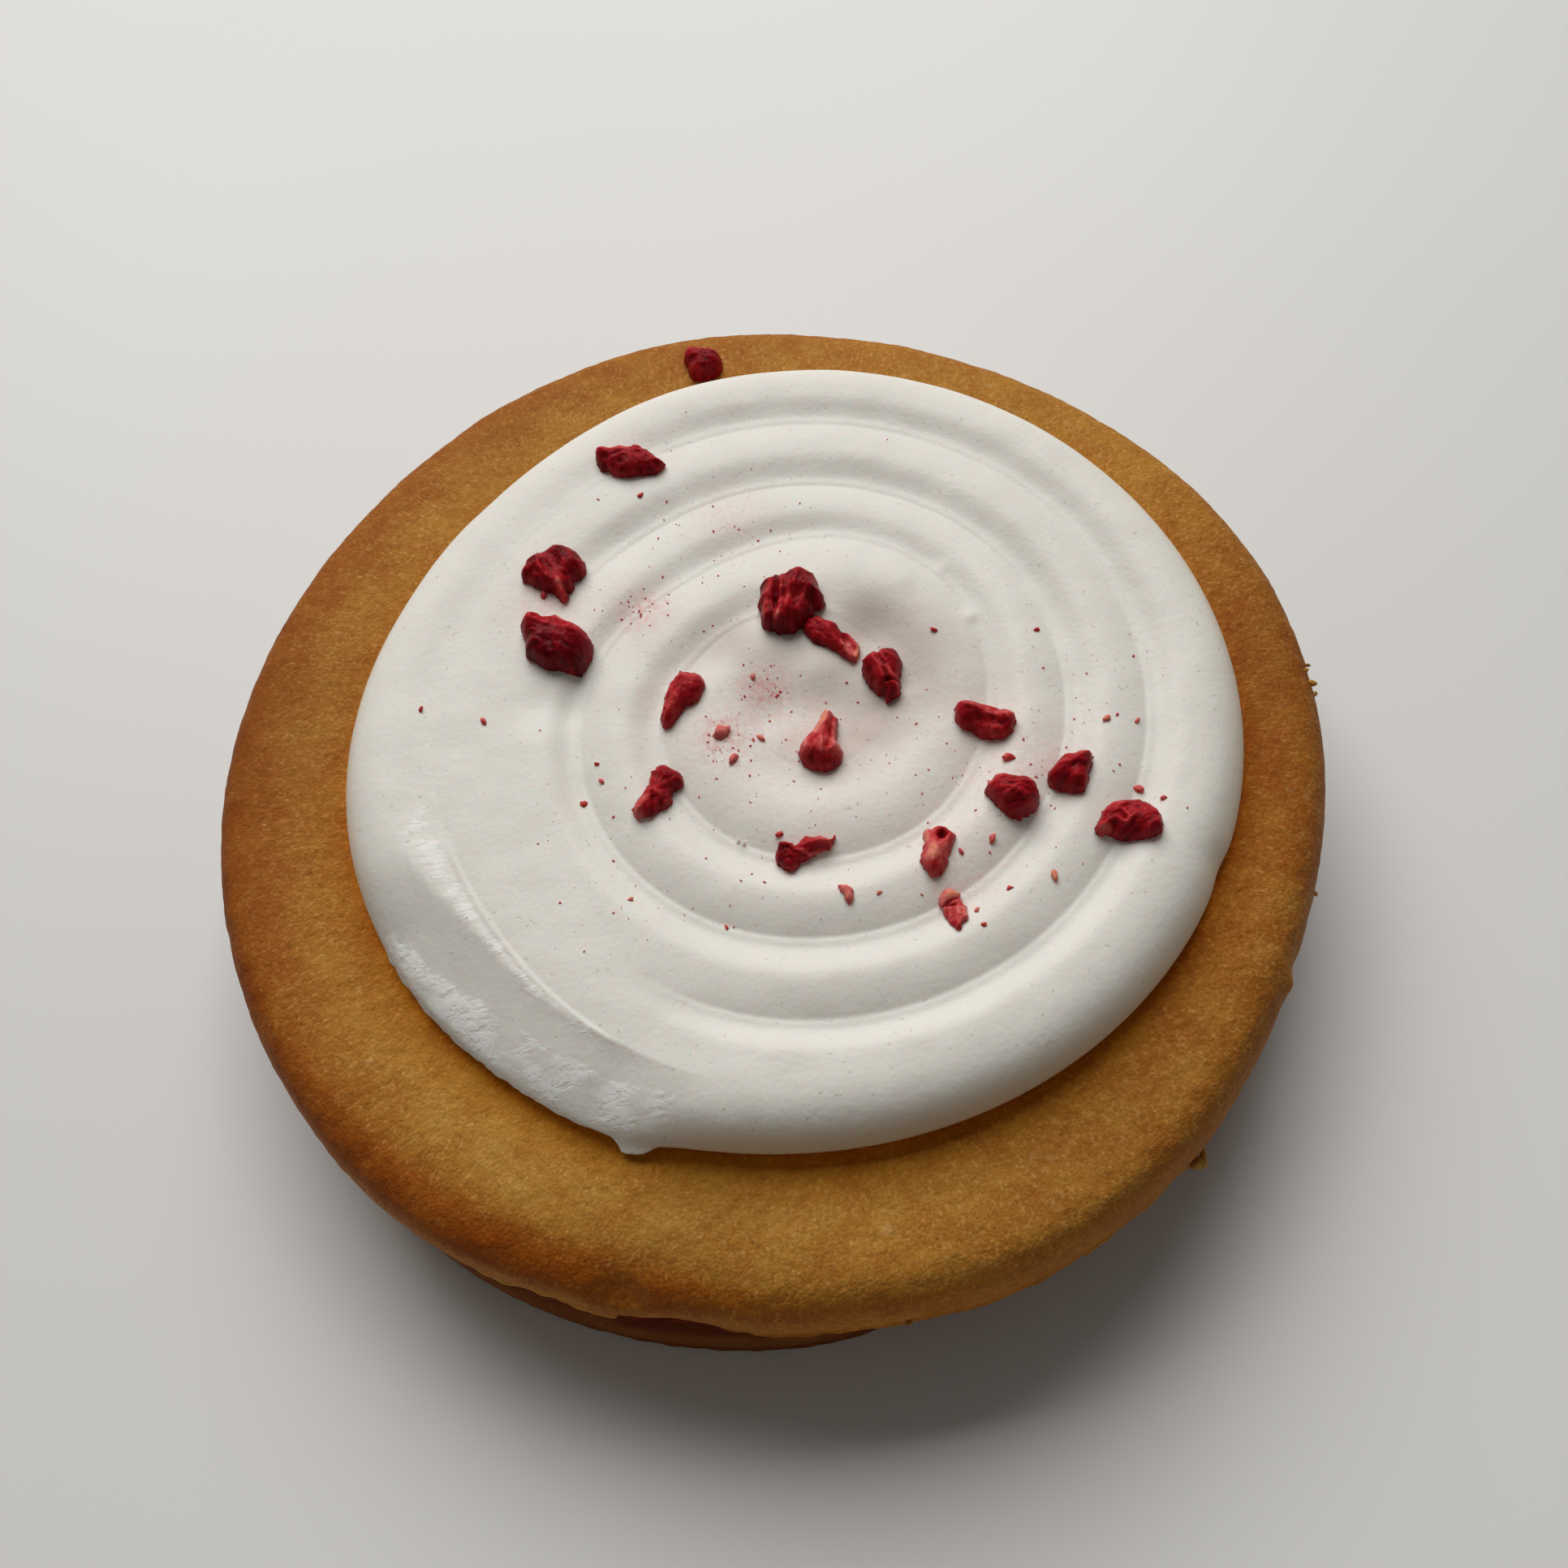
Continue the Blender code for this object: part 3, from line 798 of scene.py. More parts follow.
def close_foot(piece):
    """Draws the icing's edge down and inwards to the biscuit and closes it there."""
    pick(piece)
    bpy.ops.object.mode_set(mode="EDIT")
    bpy.ops.mesh.select_all(action="DESELECT")
    bpy.ops.mesh.select_non_manifold(extend=False, use_wire=False, use_boundary=True)
    centre = ROUND_CENTRE + ICING_CENTRE
    foot = ICING_LOW - ROUND_HIGH + ICING_FOOT
    drop = 0.0
    inset = 0.0
    for step in range(1, FOOT_RINGS + 1):
        bend = math.pi / 2 * step / FOOT_RINGS
        new_drop, new_inset = foot * math.sin(bend), ICING_UNDERCUT * (1.0 - math.cos(bend))
        shrink = (ICING_RADIUS - new_inset) / (ICING_RADIUS - inset)
        bpy.ops.mesh.extrude_region_move(TRANSFORM_OT_translate={"value": (0.0, 0.0, drop - new_drop)})
        bpy.ops.transform.resize(value=(shrink, shrink, 1.0), center_override=centre)
        drop, inset = new_drop, new_inset
    bpy.ops.mesh.edge_face_add()
    bpy.ops.mesh.select_all(action="SELECT")
    bpy.ops.mesh.normals_make_consistent(inside=False)
    bpy.ops.object.mode_set(mode="OBJECT")
    bpy.ops.object.shade_smooth()


def patches(spot, places):
    """How much of what lies in soft patches is found at a place on the icing."""
    spot = (spot - ROUND_CENTRE).xy
    return min(1.0, sum(
        strength * bell(math.dist(spot, (x * MM, y * MM)), width * MM) for x, y, width, strength in places
    ))


# ---------------------------------------------------------------- raspberry

# Each piece, as seen by someone at the front left: height (mm), redness (0 dark skin, 1 pale inside),
# direction of its wrinkles (degrees), outline as (x, y) corners (mm), and folds as (x, y, to x, to y, half
# width, lift, redness)
RASPBERRIES = {
    1: (1.9, 0.10, 0, (
        (-1.5, 0.3), (-1.6, 0.9), (-1.3, 1.4), (-0.7, 1.5), (-0.1, 1.3), (0.6, 1.2), (1.2, 1.1), (1.5, 0.6),
        (1.6, -0.2), (1.5, -0.8), (1.1, -1.3), (0.6, -1.6), (-0.2, -1.7), (-0.8, -1.5), (-1.1, -0.9),
        (-1.2, -0.3),
    ), (
        (-1.1, 0.9, 0.3, 1.1, 0.5, 0.1, 0.22), (0, -0.2, 0.8, -0.4, 0.6, 0.1, -0.05),
    )),
    2: (1.5, 0.12, -5, (
        (-2.6, 0.7), (-2.3, 0.9), (-1.9, 1), (-1.4, 0.9), (-1, 1), (-0.6, 1.15), (-0.2, 1), (0.05, 1.1),
        (0.2, 1.35), (0.5, 1.3), (0.9, 1.2), (1.1, 0.95), (1.4, 0.85), (1.8, 0.55), (2.1, 0.1), (2.5, -0.3),
        (2.85, -0.6), (2.6, -1), (2.1, -1.5), (1.7, -1.5), (1.2, -1.55), (0.6, -1.6), (0, -1.7), (-0.6, -1.6),
        (-1.2, -1.35), (-1.6, -1), (-2.1, -0.9), (-2.4, -0.4), (-2.6, 0.2),
    ), (
        (-2.3, 0.6, -0.3, 0.75, 0.3, 0.1, 0.3), (-0.3, 0.8, 1.1, 1, 0.28, 0.05, 0.3),
        (-1.5, 0.2, 0.8, 0.3, 0.25, 0.1, 0.08), (1.6, 0.1, 2.4, -0.6, 0.3, 0.1, 0),
    )),
    3: (1.7, 0.05, -55, (
        (-2.3, -0.5), (-2.25, -0.1), (-2.05, 0.3), (-2, 0.8), (-1.6, 1.2), (-1.15, 1.6), (-0.85, 1.6),
        (-0.5, 1.85), (-0.1, 2.2), (0.3, 2.3), (0.85, 2.2), (1.3, 2), (1.75, 1.7), (2.15, 1.15), (2.45, 0.6),
        (2.4, 0), (2.1, -0.4), (1.6, -0.75), (1.7, -1.2), (1.5, -1.6), (1.15, -1.8), (1.35, -2.2),
        (1.25, -2.6), (0.9, -2.6), (0.5, -2.2), (0.25, -1.85), (-0.2, -1.7), (-0.8, -1.55), (-1.3, -1.3),
        (-1.7, -0.95), (-2.1, -0.85),
    ), (
        (-0.6, 0.9, 0.9, -1.5, 0.3, 0.2, 0.22), (-1.1, 0.1, 0.3, -1.3, 0.25, 0.15, 0.14),
        (0.7, -1.4, 1.05, -2.3, 0.22, 0.1, 0.35), (1.2, 0.2, 2.1, 0.3, 0.5, 0.1, 0.1),
        (0.3, 1.3, 0.9, 0.8, 0.45, 0.1, -0.1),
    )),
    4: (2.3, 0.0, -18, (
        (-2.6, 1.5), (-2.3, 2.1), (-2.1, 2.4), (-1.6, 2.5), (-1.2, 2.45), (-0.9, 2.25), (-0.5, 2.3),
        (-0.2, 2.35), (0.15, 2.35), (0.45, 2.1), (0.75, 1.85), (1, 1.7), (1.5, 1.5), (2, 1.2), (2.3, 0.9),
        (2.5, 0.5), (2.7, 0.1), (2.7, -0.4), (2.5, -1), (2.3, -1.6), (2, -2.3), (1.6, -2.3), (1.2, -2.25),
        (0.7, -2.15), (0.3, -2), (-0.2, -2.05), (-0.6, -1.95), (-0.9, -1.7), (-1.4, -1.4), (-1.7, -1.15),
        (-2.05, -0.9), (-2.1, -0.4), (-2.05, 0), (-2.3, 0.5), (-2.45, 1),
    ), (
        (-2, 1.9, -0.6, 1.9, 0.4, 0.05, 0.34), (-0.5, 1.9, 0.6, 1.6, 0.35, 0.05, 0.36),
        (0.8, 1.4, 2.1, 0.6, 0.4, 0.05, 0.34), (-1.8, 1.2, -0.3, 1.1, 0.3, 0.12, 0.22),
        (0.2, 0.9, 1.8, 0.3, 0.25, 0.1, 0.2),
    )),
    5: (2.5, 0.07, 78, (
        (-2.05, 0), (-1.9, 0.7), (-1.85, 1.2), (-1.95, 1.5), (-1.6, 1.95), (-1.3, 2.1), (-1.1, 2.15),
        (-0.9, 2.35), (-0.6, 2.4), (-0.4, 2.3), (-0.1, 2.4), (0.3, 2.65), (0.7, 2.75), (1.1, 2.8),
        (1.5, 2.65), (2.1, 2.35), (2.3, 1.8), (2.45, 1.2), (2.8, 0.5), (2.8, 0.1), (2.5, -0.25), (2, -0.35),
        (2, -0.9), (1.6, -1.4), (1.3, -1.9), (1, -2.05), (0.7, -2.3), (0.3, -2.5), (-0.3, -2.5),
        (-0.8, -2.25), (-1.2, -2.1), (-1.6, -2), (-1.75, -1.5), (-1.8, -0.9), (-1.8, -0.3),
    ), (
        (-1.1, 0.9, -1.5, -1.3, 0.3, 0.2, 0.25), (-0.25, 1.8, -0.2, 0.3, 0.16, 0.2, 0.15),
        (-0.2, 0.3, -0.5, -1.7, 0.16, 0.2, 0.35), (0.55, 0.6, 0.1, -1.2, 0.28, 0.2, 0.22),
        (1.5, 0.2, 0.8, -1.2, 0.15, 0.1, 0.25), (0.2, 2.2, 1.2, 2.2, 0.3, 0.1, 0.15),
        (-0.5, -1.5, -0.6, -1.7, 0.2, 0, 0.3), (1.2, 1.2, 1.4, 0.6, 0.5, 0.1, -0.08),
        (-0.6, 1, -0.65, -1, 0.12, -0.25, -0.12), (0.2, 1.6, 0.75, -0.9, 0.12, -0.15, -0.1),
    )),
    6: (1.2, 0.18, -40, (
        (-2.6, 0.8), (-2.7, 1.3), (-2.4, 1.8), (-2, 1.85), (-1.5, 2.05), (-1, 1.65), (-0.6, 1.6),
        (-0.25, 1.45), (-0.05, 1), (0.1, 0.8), (0.5, 0.75), (0.8, 0.5), (1.15, 0.1), (1.4, -0.35),
        (1.4, -0.85), (1.25, -1.4), (0.9, -1.7), (0.55, -1.55), (0, -1.15), (-0.5, -0.8), (-0.9, -0.6),
        (-1.4, -0.45), (-1.95, -0.2), (-2.2, 0.2), (-2.45, 0.5),
    ), (
        (-1.6, 1.4, -0.4, 1.1, 0.3, 0.1, 0.1), (0.4, -0.1, 0.9, -0.9, 0.38, -0.35, 0.6),
        (0.5, 0.65, 1.3, -0.5, 0.15, 0.12, 0.42), (1.3, -0.5, 1.1, -1.4, 0.15, 0.12, 0.48),
        (-0.1, 0.4, 0.2, -0.6, 0.12, 0.18, 0.15), (0.2, -0.6, 0.8, -1.5, 0.15, 0.1, 0.3),
        (-0.8, 0.5, -0.3, -0.2, 0.2, 0.1, 0.15),
    )),
    7: (1.9, 0.10, -62, (
        (-1.6, 0.4), (-1.55, 1.15), (-1.3, 1.55), (-0.95, 1.8), (-0.65, 1.9), (-0.55, 1.75), (-0.4, 2.05),
        (-0.2, 2.1), (0.05, 2.1), (0.4, 2.1), (0.8, 1.85), (1.05, 1.5), (1.2, 1), (1.2, 0.55), (1.1, 0.05),
        (1, -0.35), (1.1, -0.9), (1.1, -1.35), (1.05, -1.75), (0.75, -2), (0.45, -2.15), (0.15, -2.35),
        (0, -2.2), (0, -1.8), (-0.2, -1.65), (-0.5, -1.6), (-0.7, -1.35), (-0.95, -1), (-1.15, -0.9),
        (-1.4, -0.4), (-1.55, 0),
    ), (
        (-0.9, 1, -0.1, -0.9, 0.15, 0.15, 0.25), (-0.3, 1.1, 0.6, -0.8, 0.15, 0.15, 0.3),
        (0.3, 0.9, 0.9, -0.2, 0.2, 0.1, 0.15), (0.8, -1.2, 1, -1.7, 0.15, 0.1, 0.3),
        (0.3, -1.4, 0.4, -1.9, 0.3, -0.1, 0.1), (0, -1.05, 0.9, -1, 0.1, -0.25, -0.12),
        (-1.1, 0.6, -1, -0.4, 0.3, 0.05, -0.08),
    )),
    8: (1.4, 0.22, 63, (
        (-0.4, 2.2), (-0.2, 2.2), (0, 2), (0.4, 1.9), (0.6, 1.75), (0.9, 1.75), (1.2, 1.45), (1.45, 1.15),
        (1.6, 0.65), (1.5, 0.2), (1.35, -0.25), (1.1, -0.65), (0.75, -0.95), (0.3, -1.05), (0.1, -1.35),
        (-0.2, -1.8), (-0.45, -2.25), (-0.65, -2.55), (-0.9, -2.7), (-1.3, -2.65), (-1.4, -2.4),
        (-1.55, -1.95), (-1.4, -1.3), (-1.3, -0.7), (-1.3, -0.15), (-1.15, 0.2), (-1.05, 0.6), (-1, 0.95),
        (-0.8, 1.1), (-0.7, 1.45), (-0.45, 1.75),
    ), (
        (-0.6, 1.4, -1.3, -1.4, 0.2, 0.1, 0.16), (0.1, 1, 1.2, 0.8, 0.25, 0.15, 0.12),
        (-0.2, -0.6, -1, -2.3, 0.25, 0.05, 0.1), (0.2, 0.3, 0.4, -0.5, 0.45, -0.1, -0.08),
    )),
    9: (1.8, 0.36, 80, (
        (-1.55, -1.05), (-1.45, -0.6), (-1.2, -0.1), (-0.95, 0.35), (-0.65, 0.7), (-0.5, 1.05), (-0.3, 1.5),
        (-0.1, 2.05), (0.1, 2.5), (0.3, 2.6), (0.4, 2.5), (0.55, 2.7), (0.7, 2.5), (0.9, 2.2), (1.1, 1.95),
        (1.15, 1.4), (1.1, 0.9), (1.05, 0.35), (1.05, -0.2), (1.25, -0.45), (1.45, -0.8), (1.5, -1.2),
        (1.45, -1.55), (1.25, -1.9), (1, -2.2), (0.6, -2.4), (0.1, -2.5), (-0.5, -2.4), (-1, -2.1),
        (-1.35, -1.8), (-1.5, -1.5),
    ), (
        (0.3, 2.3, -0.4, 0.3, 0.28, 0.1, 0.42), (0.3, 2.4, 0.2, 1.2, 0.25, 0.05, 0.3),
        (0.75, 2, 0.6, -0.9, 0.13, -0.25, -0.10), (0.95, 1.9, 0.95, -0.2, 0.12, 0.1, 0.25),
        (0.7, -0.4, 1.2, -0.9, 0.35, 0.2, 0.32), (-1.1, -0.4, -1, -0.9, 0.35, 0.1, 0.25),
        (-1, -1.8, 1, -2, 0.4, 0, -0.2), (0.1, -0.5, 0.1, -1.5, 0.12, 0.15, 0.2),
    )),
    10: (1.8, 0.23, -16, (
        (-2.05, 0.85), (-1.95, 1.2), (-1.6, 1.4), (-1.2, 1.4), (-0.75, 1.35), (-0.3, 1.2), (0.1, 1.2),
        (0.55, 1.05), (0.95, 0.95), (1.1, 0.8), (1.4, 0.8), (1.75, 0.55), (2.05, 0.2), (2.1, -0.15),
        (2, -0.5), (1.8, -1), (1.5, -1.3), (1.2, -1.5), (0.65, -1.45), (0.15, -1.35), (-0.2, -1.25),
        (-0.55, -1.05), (-1, -0.8), (-1.35, -0.7), (-1.7, -0.55), (-1.9, -0.3), (-2, 0.15),
    ), (
        (-0.8, 0.8, 1.5, 0.5, 0.25, 0.1, 0.15), (0.4, 0.2, 1.7, -0.1, 0.35, 0.1, 0.24),
        (-1.4, 0.6, 0.2, 0.2, 0.15, 0.15, 0.15), (-1.5, 0, -1.2, -0.2, 0.4, 0, -0.12),
        (-0.4, -0.3, 1.2, -0.8, 0.25, -0.1, -0.08), (0, -1, 1.2, -1.2, 0.2, 0.05, 0.05),
    )),
    11: (1.4, 0.19, 60, (
        (0.3, 2.4), (0, 2.3), (-0.15, 2.1), (-0.2, 1.9), (-0.45, 1.9), (-0.45, 1.5), (-0.45, 1), (-0.5, 0.6),
        (-0.65, 0.35), (-0.75, 0), (-0.9, -0.35), (-1.15, -0.7), (-1.35, -1.1), (-1.4, -1.4), (-1.55, -1.45),
        (-1.45, -1.7), (-1.35, -2), (-1, -2.3), (-0.85, -2.1), (-0.4, -2.1), (-0.15, -2.05), (0.1, -1.8),
        (0.45, -1.35), (0.7, -1.2), (0.9, -1.15), (1, -0.8), (1.1, -0.4), (1.1, 0), (1.25, 0.35), (1.5, 0.55),
        (1.8, 0.7), (1.85, 1.05), (1.7, 1.45), (1.55, 1.7), (1.25, 1.9), (0.95, 2.1), (0.65, 2.3),
    ), (
        (0.6, 1.4, 1.2, 1, 0.6, 0.1, -0.1), (-0.3, 0.9, -0.5, 0.3, 0.2, 0.05, 0.1),
        (-0.4, -0.2, 0.4, -0.3, 0.25, 0.1, 0.16), (-0.6, -0.9, -1, -1.4, 0.35, 0.1, 0.32),
        (-1.1, -1.8, -0.9, -2.1, 0.25, 0.05, 0.45), (0.2, -0.6, 0.5, -1.1, 0.3, 0, -0.06),
    )),
    12: (1.9, 0.17, 5, (
        (-1.95, 0.6), (-1.85, 0.85), (-1.6, 1.05), (-1.45, 1.35), (-1.25, 1.6), (-0.85, 1.65), (-0.45, 1.6),
        (-0.15, 1.5), (0.2, 1.4), (0.35, 1.4), (0.5, 1.45), (0.85, 1.4), (1.2, 1.25), (1.5, 1.05),
        (1.6, 0.65), (1.7, 0.25), (1.7, -0.25), (1.5, -0.7), (1.25, -1.1), (0.9, -1.4), (0.5, -1.5),
        (0.4, -1.7), (0.05, -1.7), (-0.2, -1.6), (-0.6, -1.35), (-0.95, -1), (-1.3, -0.6), (-1.6, -0.15),
        (-1.85, 0.2),
    ), (
        (-1.4, 1.2, 0.2, 1.3, 0.3, 0.05, 0.16), (-1.4, 0.7, -0.6, 0.8, 0.3, 0.1, 0.12),
        (0.9, 1, 1.4, 0.5, 0.3, 0, 0.1), (0, -0.5, 0.2, -1.2, 0.5, 0.1, -0.08),
        (-0.3, 0.4, 1, 0.5, 0.12, 0.15, 0.1), (-0.8, -0.1, -0.6, -0.4, 0.15, 0.1, 0.15),
    )),
    13: (2.0, 0.17, 40, (
        (-1.6, -0.2), (-1.5, 0.1), (-1.25, 0.4), (-1.1, 0.65), (-0.85, 1), (-0.55, 1.4), (-0.2, 1.6),
        (0.25, 1.6), (0.6, 1.6), (0.75, 1.7), (0.95, 1.6), (1.25, 1.5), (1.4, 1.3), (1.4, 0.9), (1.4, 0.55),
        (1.25, 0.2), (1.15, -0.1), (1.1, -0.55), (1, -1), (0.85, -1.4), (0.7, -1.6), (0.2, -1.6),
        (-0.2, -1.5), (-0.5, -1.3), (-0.75, -1.2), (-1.2, -1), (-1.45, -0.75), (-1.6, -0.5),
    ), (
        (0.55, 1.4, 0.7, 0.9, 0.2, 0.15, 0.32), (-0.6, 1, 0.5, 0.9, 0.3, 0.1, 0.15),
        (-1.2, 0.2, -0.2, 0.3, 0.3, 0.1, 0.06), (0.8, 0.4, 1.1, 0, 0.2, 0.1, 0.05),
        (-0.8, -0.8, 0.6, -1.2, 0.4, 0, -0.1),
    )),
    14: (1.7, 0.17, 30, (
        (-2.5, -0.75), (-2.4, -0.5), (-2.2, -0.3), (-2.1, 0.1), (-1.95, 0.5), (-1.65, 0.85), (-1.4, 1.1),
        (-1.05, 1.3), (-0.7, 1.4), (-0.35, 1.5), (0.05, 1.55), (0.6, 1.6), (1, 1.4), (1.25, 1.2), (1.45, 0.9),
        (1.7, 0.6), (1.85, 0.25), (1.9, -0.2), (1.95, -0.7), (1.8, -1.15), (1.5, -1.35), (1.2, -1.5),
        (0.8, -1.5), (0.3, -1.45), (-0.35, -1.45), (-1, -1.4), (-1.2, -1.25), (-1.4, -1.1), (-1.7, -1.15),
        (-2.2, -1.25), (-2.4, -1),
    ), (
        (-1.5, 0.9, -0.7, 0.9, 0.2, 0.1, 0.25), (-1.9, 0.3, -1, 0.5, 0.2, 0.15, 0.15),
        (-0.6, 0.3, -0.2, -0.4, 0.12, 0.25, 0.3), (-1.2, -0.3, -0.4, -0.6, 0.15, 0.2, 0.2),
        (-2.2, -0.9, -1.6, -0.8, 0.25, 0, 0.35), (0.6, -0.1, 1.2, -0.6, 0.7, 0.1, -0.06),
        (0.2, 0.9, 1.2, 0.8, 0.3, 0.1, 0), (0.7, 0.2, 0.9, -1.2, 0.12, 0.1, 0.12),
    )),
    15: (1.3, 0.47, 85, (
        (-0.85, 1.65), (-0.6, 1.7), (-0.3, 1.65), (-0.05, 1.8), (0.25, 1.8), (0.65, 1.65), (0.9, 1.3),
        (1.15, 1), (1.2, 0.65), (1.1, 0.35), (0.95, 0.1), (0.8, -0.2), (0.7, -0.7), (0.65, -1.05),
        (0.5, -1.4), (0.4, -1.7), (0.15, -2), (-0.2, -2.1), (-0.35, -2.25), (-0.5, -2.1), (-0.75, -1.9),
        (-0.85, -1.7), (-1, -1.45), (-1.15, -1), (-1.1, -0.7), (-1, -0.2), (-1, 0.2), (-0.85, 0.55),
        (-0.95, 1), (-0.9, 1.35),
    ), (
        (-0.4, -0.3, -0.5, -0.9, 0.35, 0.05, 0.42), (-0.75, 1.4, -0.7, 0.5, 0.2, 0.1, 0.25),
        (0.25, 0.8, 0.3, 0.7, 0.28, -0.7, -0.4), (0, 1.5, 0.8, 1, 0.25, 0.15, -0.18),
        (0.2, 0.4, 0.6, 0.5, 0.1, 0.1, 0.2), (-0.4, -1.6, 0.1, -1.8, 0.35, 0.05, -0.18),
        (0.4, -0.2, 0.5, -1, 0.2, 0.05, 0.05),
    )),
    16: (1.0, 0.60, 70, (
        (-1.1, 0.3), (-1.1, 0.7), (-1, 1), (-0.8, 1.25), (-0.4, 1.4), (-0.1, 1.35), (0.1, 1.2), (0.35, 1.1),
        (0.4, 0.95), (0.3, 0.8), (0.45, 0.5), (0.65, 0.1), (0.7, -0.35), (0.8, -0.75), (0.7, -1),
        (0.45, -1.2), (0.4, -1.45), (0.2, -1.75), (0.1, -1.8), (0, -1.65), (-0.25, -1.4), (-0.45, -1.05),
        (-0.7, -0.65), (-0.85, -0.35), (-0.9, 0), (-1.05, 0.1),
    ), (
        (-0.5, 0.9, -0.1, 0.9, 0.4, 0.1, 0.12), (-0.6, 0.2, 0.2, 0.6, 0.08, -0.25, -0.28),
        (-0.8, 0.05, 0, 0.1, 0.08, -0.25, -0.28), (0.1, -0.2, 0.2, -0.6, 0.2, 0.1, 0.15),
        (-0.1, -1.2, 0.1, -1.5, 0.25, 0, -0.2), (0.6, -0.2, 0.65, -0.9, 0.12, 0.1, 0.1),
    )),
    17: (1.4, 0.17, 12, (
        (-1.85, -0.35), (-1.8, 0), (-1.7, 0.35), (-1.6, 0.6), (-1.3, 0.55), (-1, 0.5), (-0.65, 0.5),
        (-0.55, 0.3), (-0.4, 0.35), (-0.2, 0.55), (0, 0.8), (0.2, 0.95), (0.5, 0.9), (0.8, 0.85),
        (1.15, 0.95), (1.35, 0.85), (1.6, 0.8), (1.8, 0.7), (2.05, 0.8), (2.1, 1.05), (2.2, 0.9),
        (2.05, 0.55), (1.95, 0.35), (1.85, 0.1), (1.55, 0.05), (1.25, -0.1), (0.85, -0.3), (0.65, -0.5),
        (0.3, -0.7), (0, -0.8), (-0.2, -0.85), (-0.25, -1.1), (-0.45, -1.4), (-0.65, -1.6), (-1.05, -1.5),
        (-1.25, -1.4), (-1.55, -1.1), (-1.8, -0.9), (-1.85, -0.65),
    ), (
        (-1.3, 0.2, -1, -0.9, 0.6, 0.15, -0.12), (-0.1, 0.3, 1, 0.6, 0.3, 0.1, 0.16),
        (1.2, 0.5, 1.8, 0.5, 0.25, 0.05, 0.35), (-0.4, -0.2, 0.5, -0.45, 0.1, 0.2, 0.3),
        (0.5, -0.45, 1.5, 0, 0.08, 0.1, 0.3), (-1.2, 0.4, -0.7, -0.1, 0.12, 0.2, 0.12),
        (-0.9, -0.3, -0.6, -0.7, 0.12, 0.2, 0.12), (1.9, 0.8, 2.1, 1, 0.15, 0, 0.4),
    )),
    18: (0.7, 0.62, -60, (
        (-0.6, 0.55), (-0.45, 0.75), (-0.15, 0.75), (0.1, 0.65), (0.3, 0.5), (0.5, 0.35), (0.5, 0.05),
        (0.55, -0.15), (0.5, -0.4), (0.25, -0.65), (-0.05, -0.6), (-0.1, -0.4), (-0.1, -0.15), (-0.2, 0.05),
        (-0.4, 0.25), (-0.45, 0.45),
    ), (
        (-0.2, 0.5, 0.3, -0.1, 0.2, 0.05, 0.1),
    )),
}
SLAB = 0.5                      # thickness of the slab that a piece is shaped from (mm)
VOXEL = 0.085                   # spacing of its corners (mm)
THIN_EDGE = 0.3                 # height at which the outline's edge stands (mm)
DOME_WIDTH = 1.15               # distance over which a piece rises from its edge (mm)
LEAN = 0.94                     # the outlines were seen from the front: their depth is a little less
SINK = 0.14 * MM                # how deep the pieces sit in the icing
NUDGE = 0.4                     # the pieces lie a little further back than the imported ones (mm)
NUDGES = {1: 0.2, 4: 0.1, 5: 0.05, 6: 0.15, 7: 0.45, 9: 0.65}
WRINKLE_STRETCH = 0.45          # share of a wrinkle's width to its length
RIDGE_SHARPNESS = 2.4
BIG_RIDGES = 1.1                # ridges to the millimetre
SMALL_RIDGES = 2.7
LOWEST_TOP = 0.15               # height that every part of a piece keeps (mm)


def off_line(x, y, line):
    """Distance of a place from a straight line between two others, as (x, y, to x, to y)."""
    x0, y0, x1, y1 = line
    run, rise = x1 - x0, y1 - y0
    length = run * run + rise * rise
    share = 0.0 if length == 0.0 else limited(((x - x0) * run + (y - y0) * rise) / length)
    return math.hypot(x - x0 - share * run, y - y0 - share * rise)


def ridges(spot, density, seed):
    """Sharp ridges between soft hollows, so many to the millimetre."""
    return 1.0 - RIDGE_SHARPNESS * abs(noise.noise(spot * density + seed))


def slab(name, outline):
    """Draws an outline, fills it, and raises it to a slab of even small cells, in millimetres."""
    piece = drawn(name, [(x, y, 0.0) for x, y in outline])
    bpy.ops.mesh.select_all(action="SELECT")
    bpy.ops.mesh.edge_face_add()
    bpy.ops.mesh.extrude_region_move(TRANSFORM_OT_translate={"value": (0.0, 0.0, SLAB)})
    bpy.ops.mesh.select_all(action="SELECT")
    bpy.ops.mesh.normals_make_consistent(inside=False)
    bpy.ops.object.mode_set(mode="OBJECT")
    finish_with(piece, "REMESH", mode="VOXEL", voxel_size=VOXEL, use_smooth_shade=True)
    finish_with(piece, "SMOOTH", factor=0.5, iterations=2)
    return piece


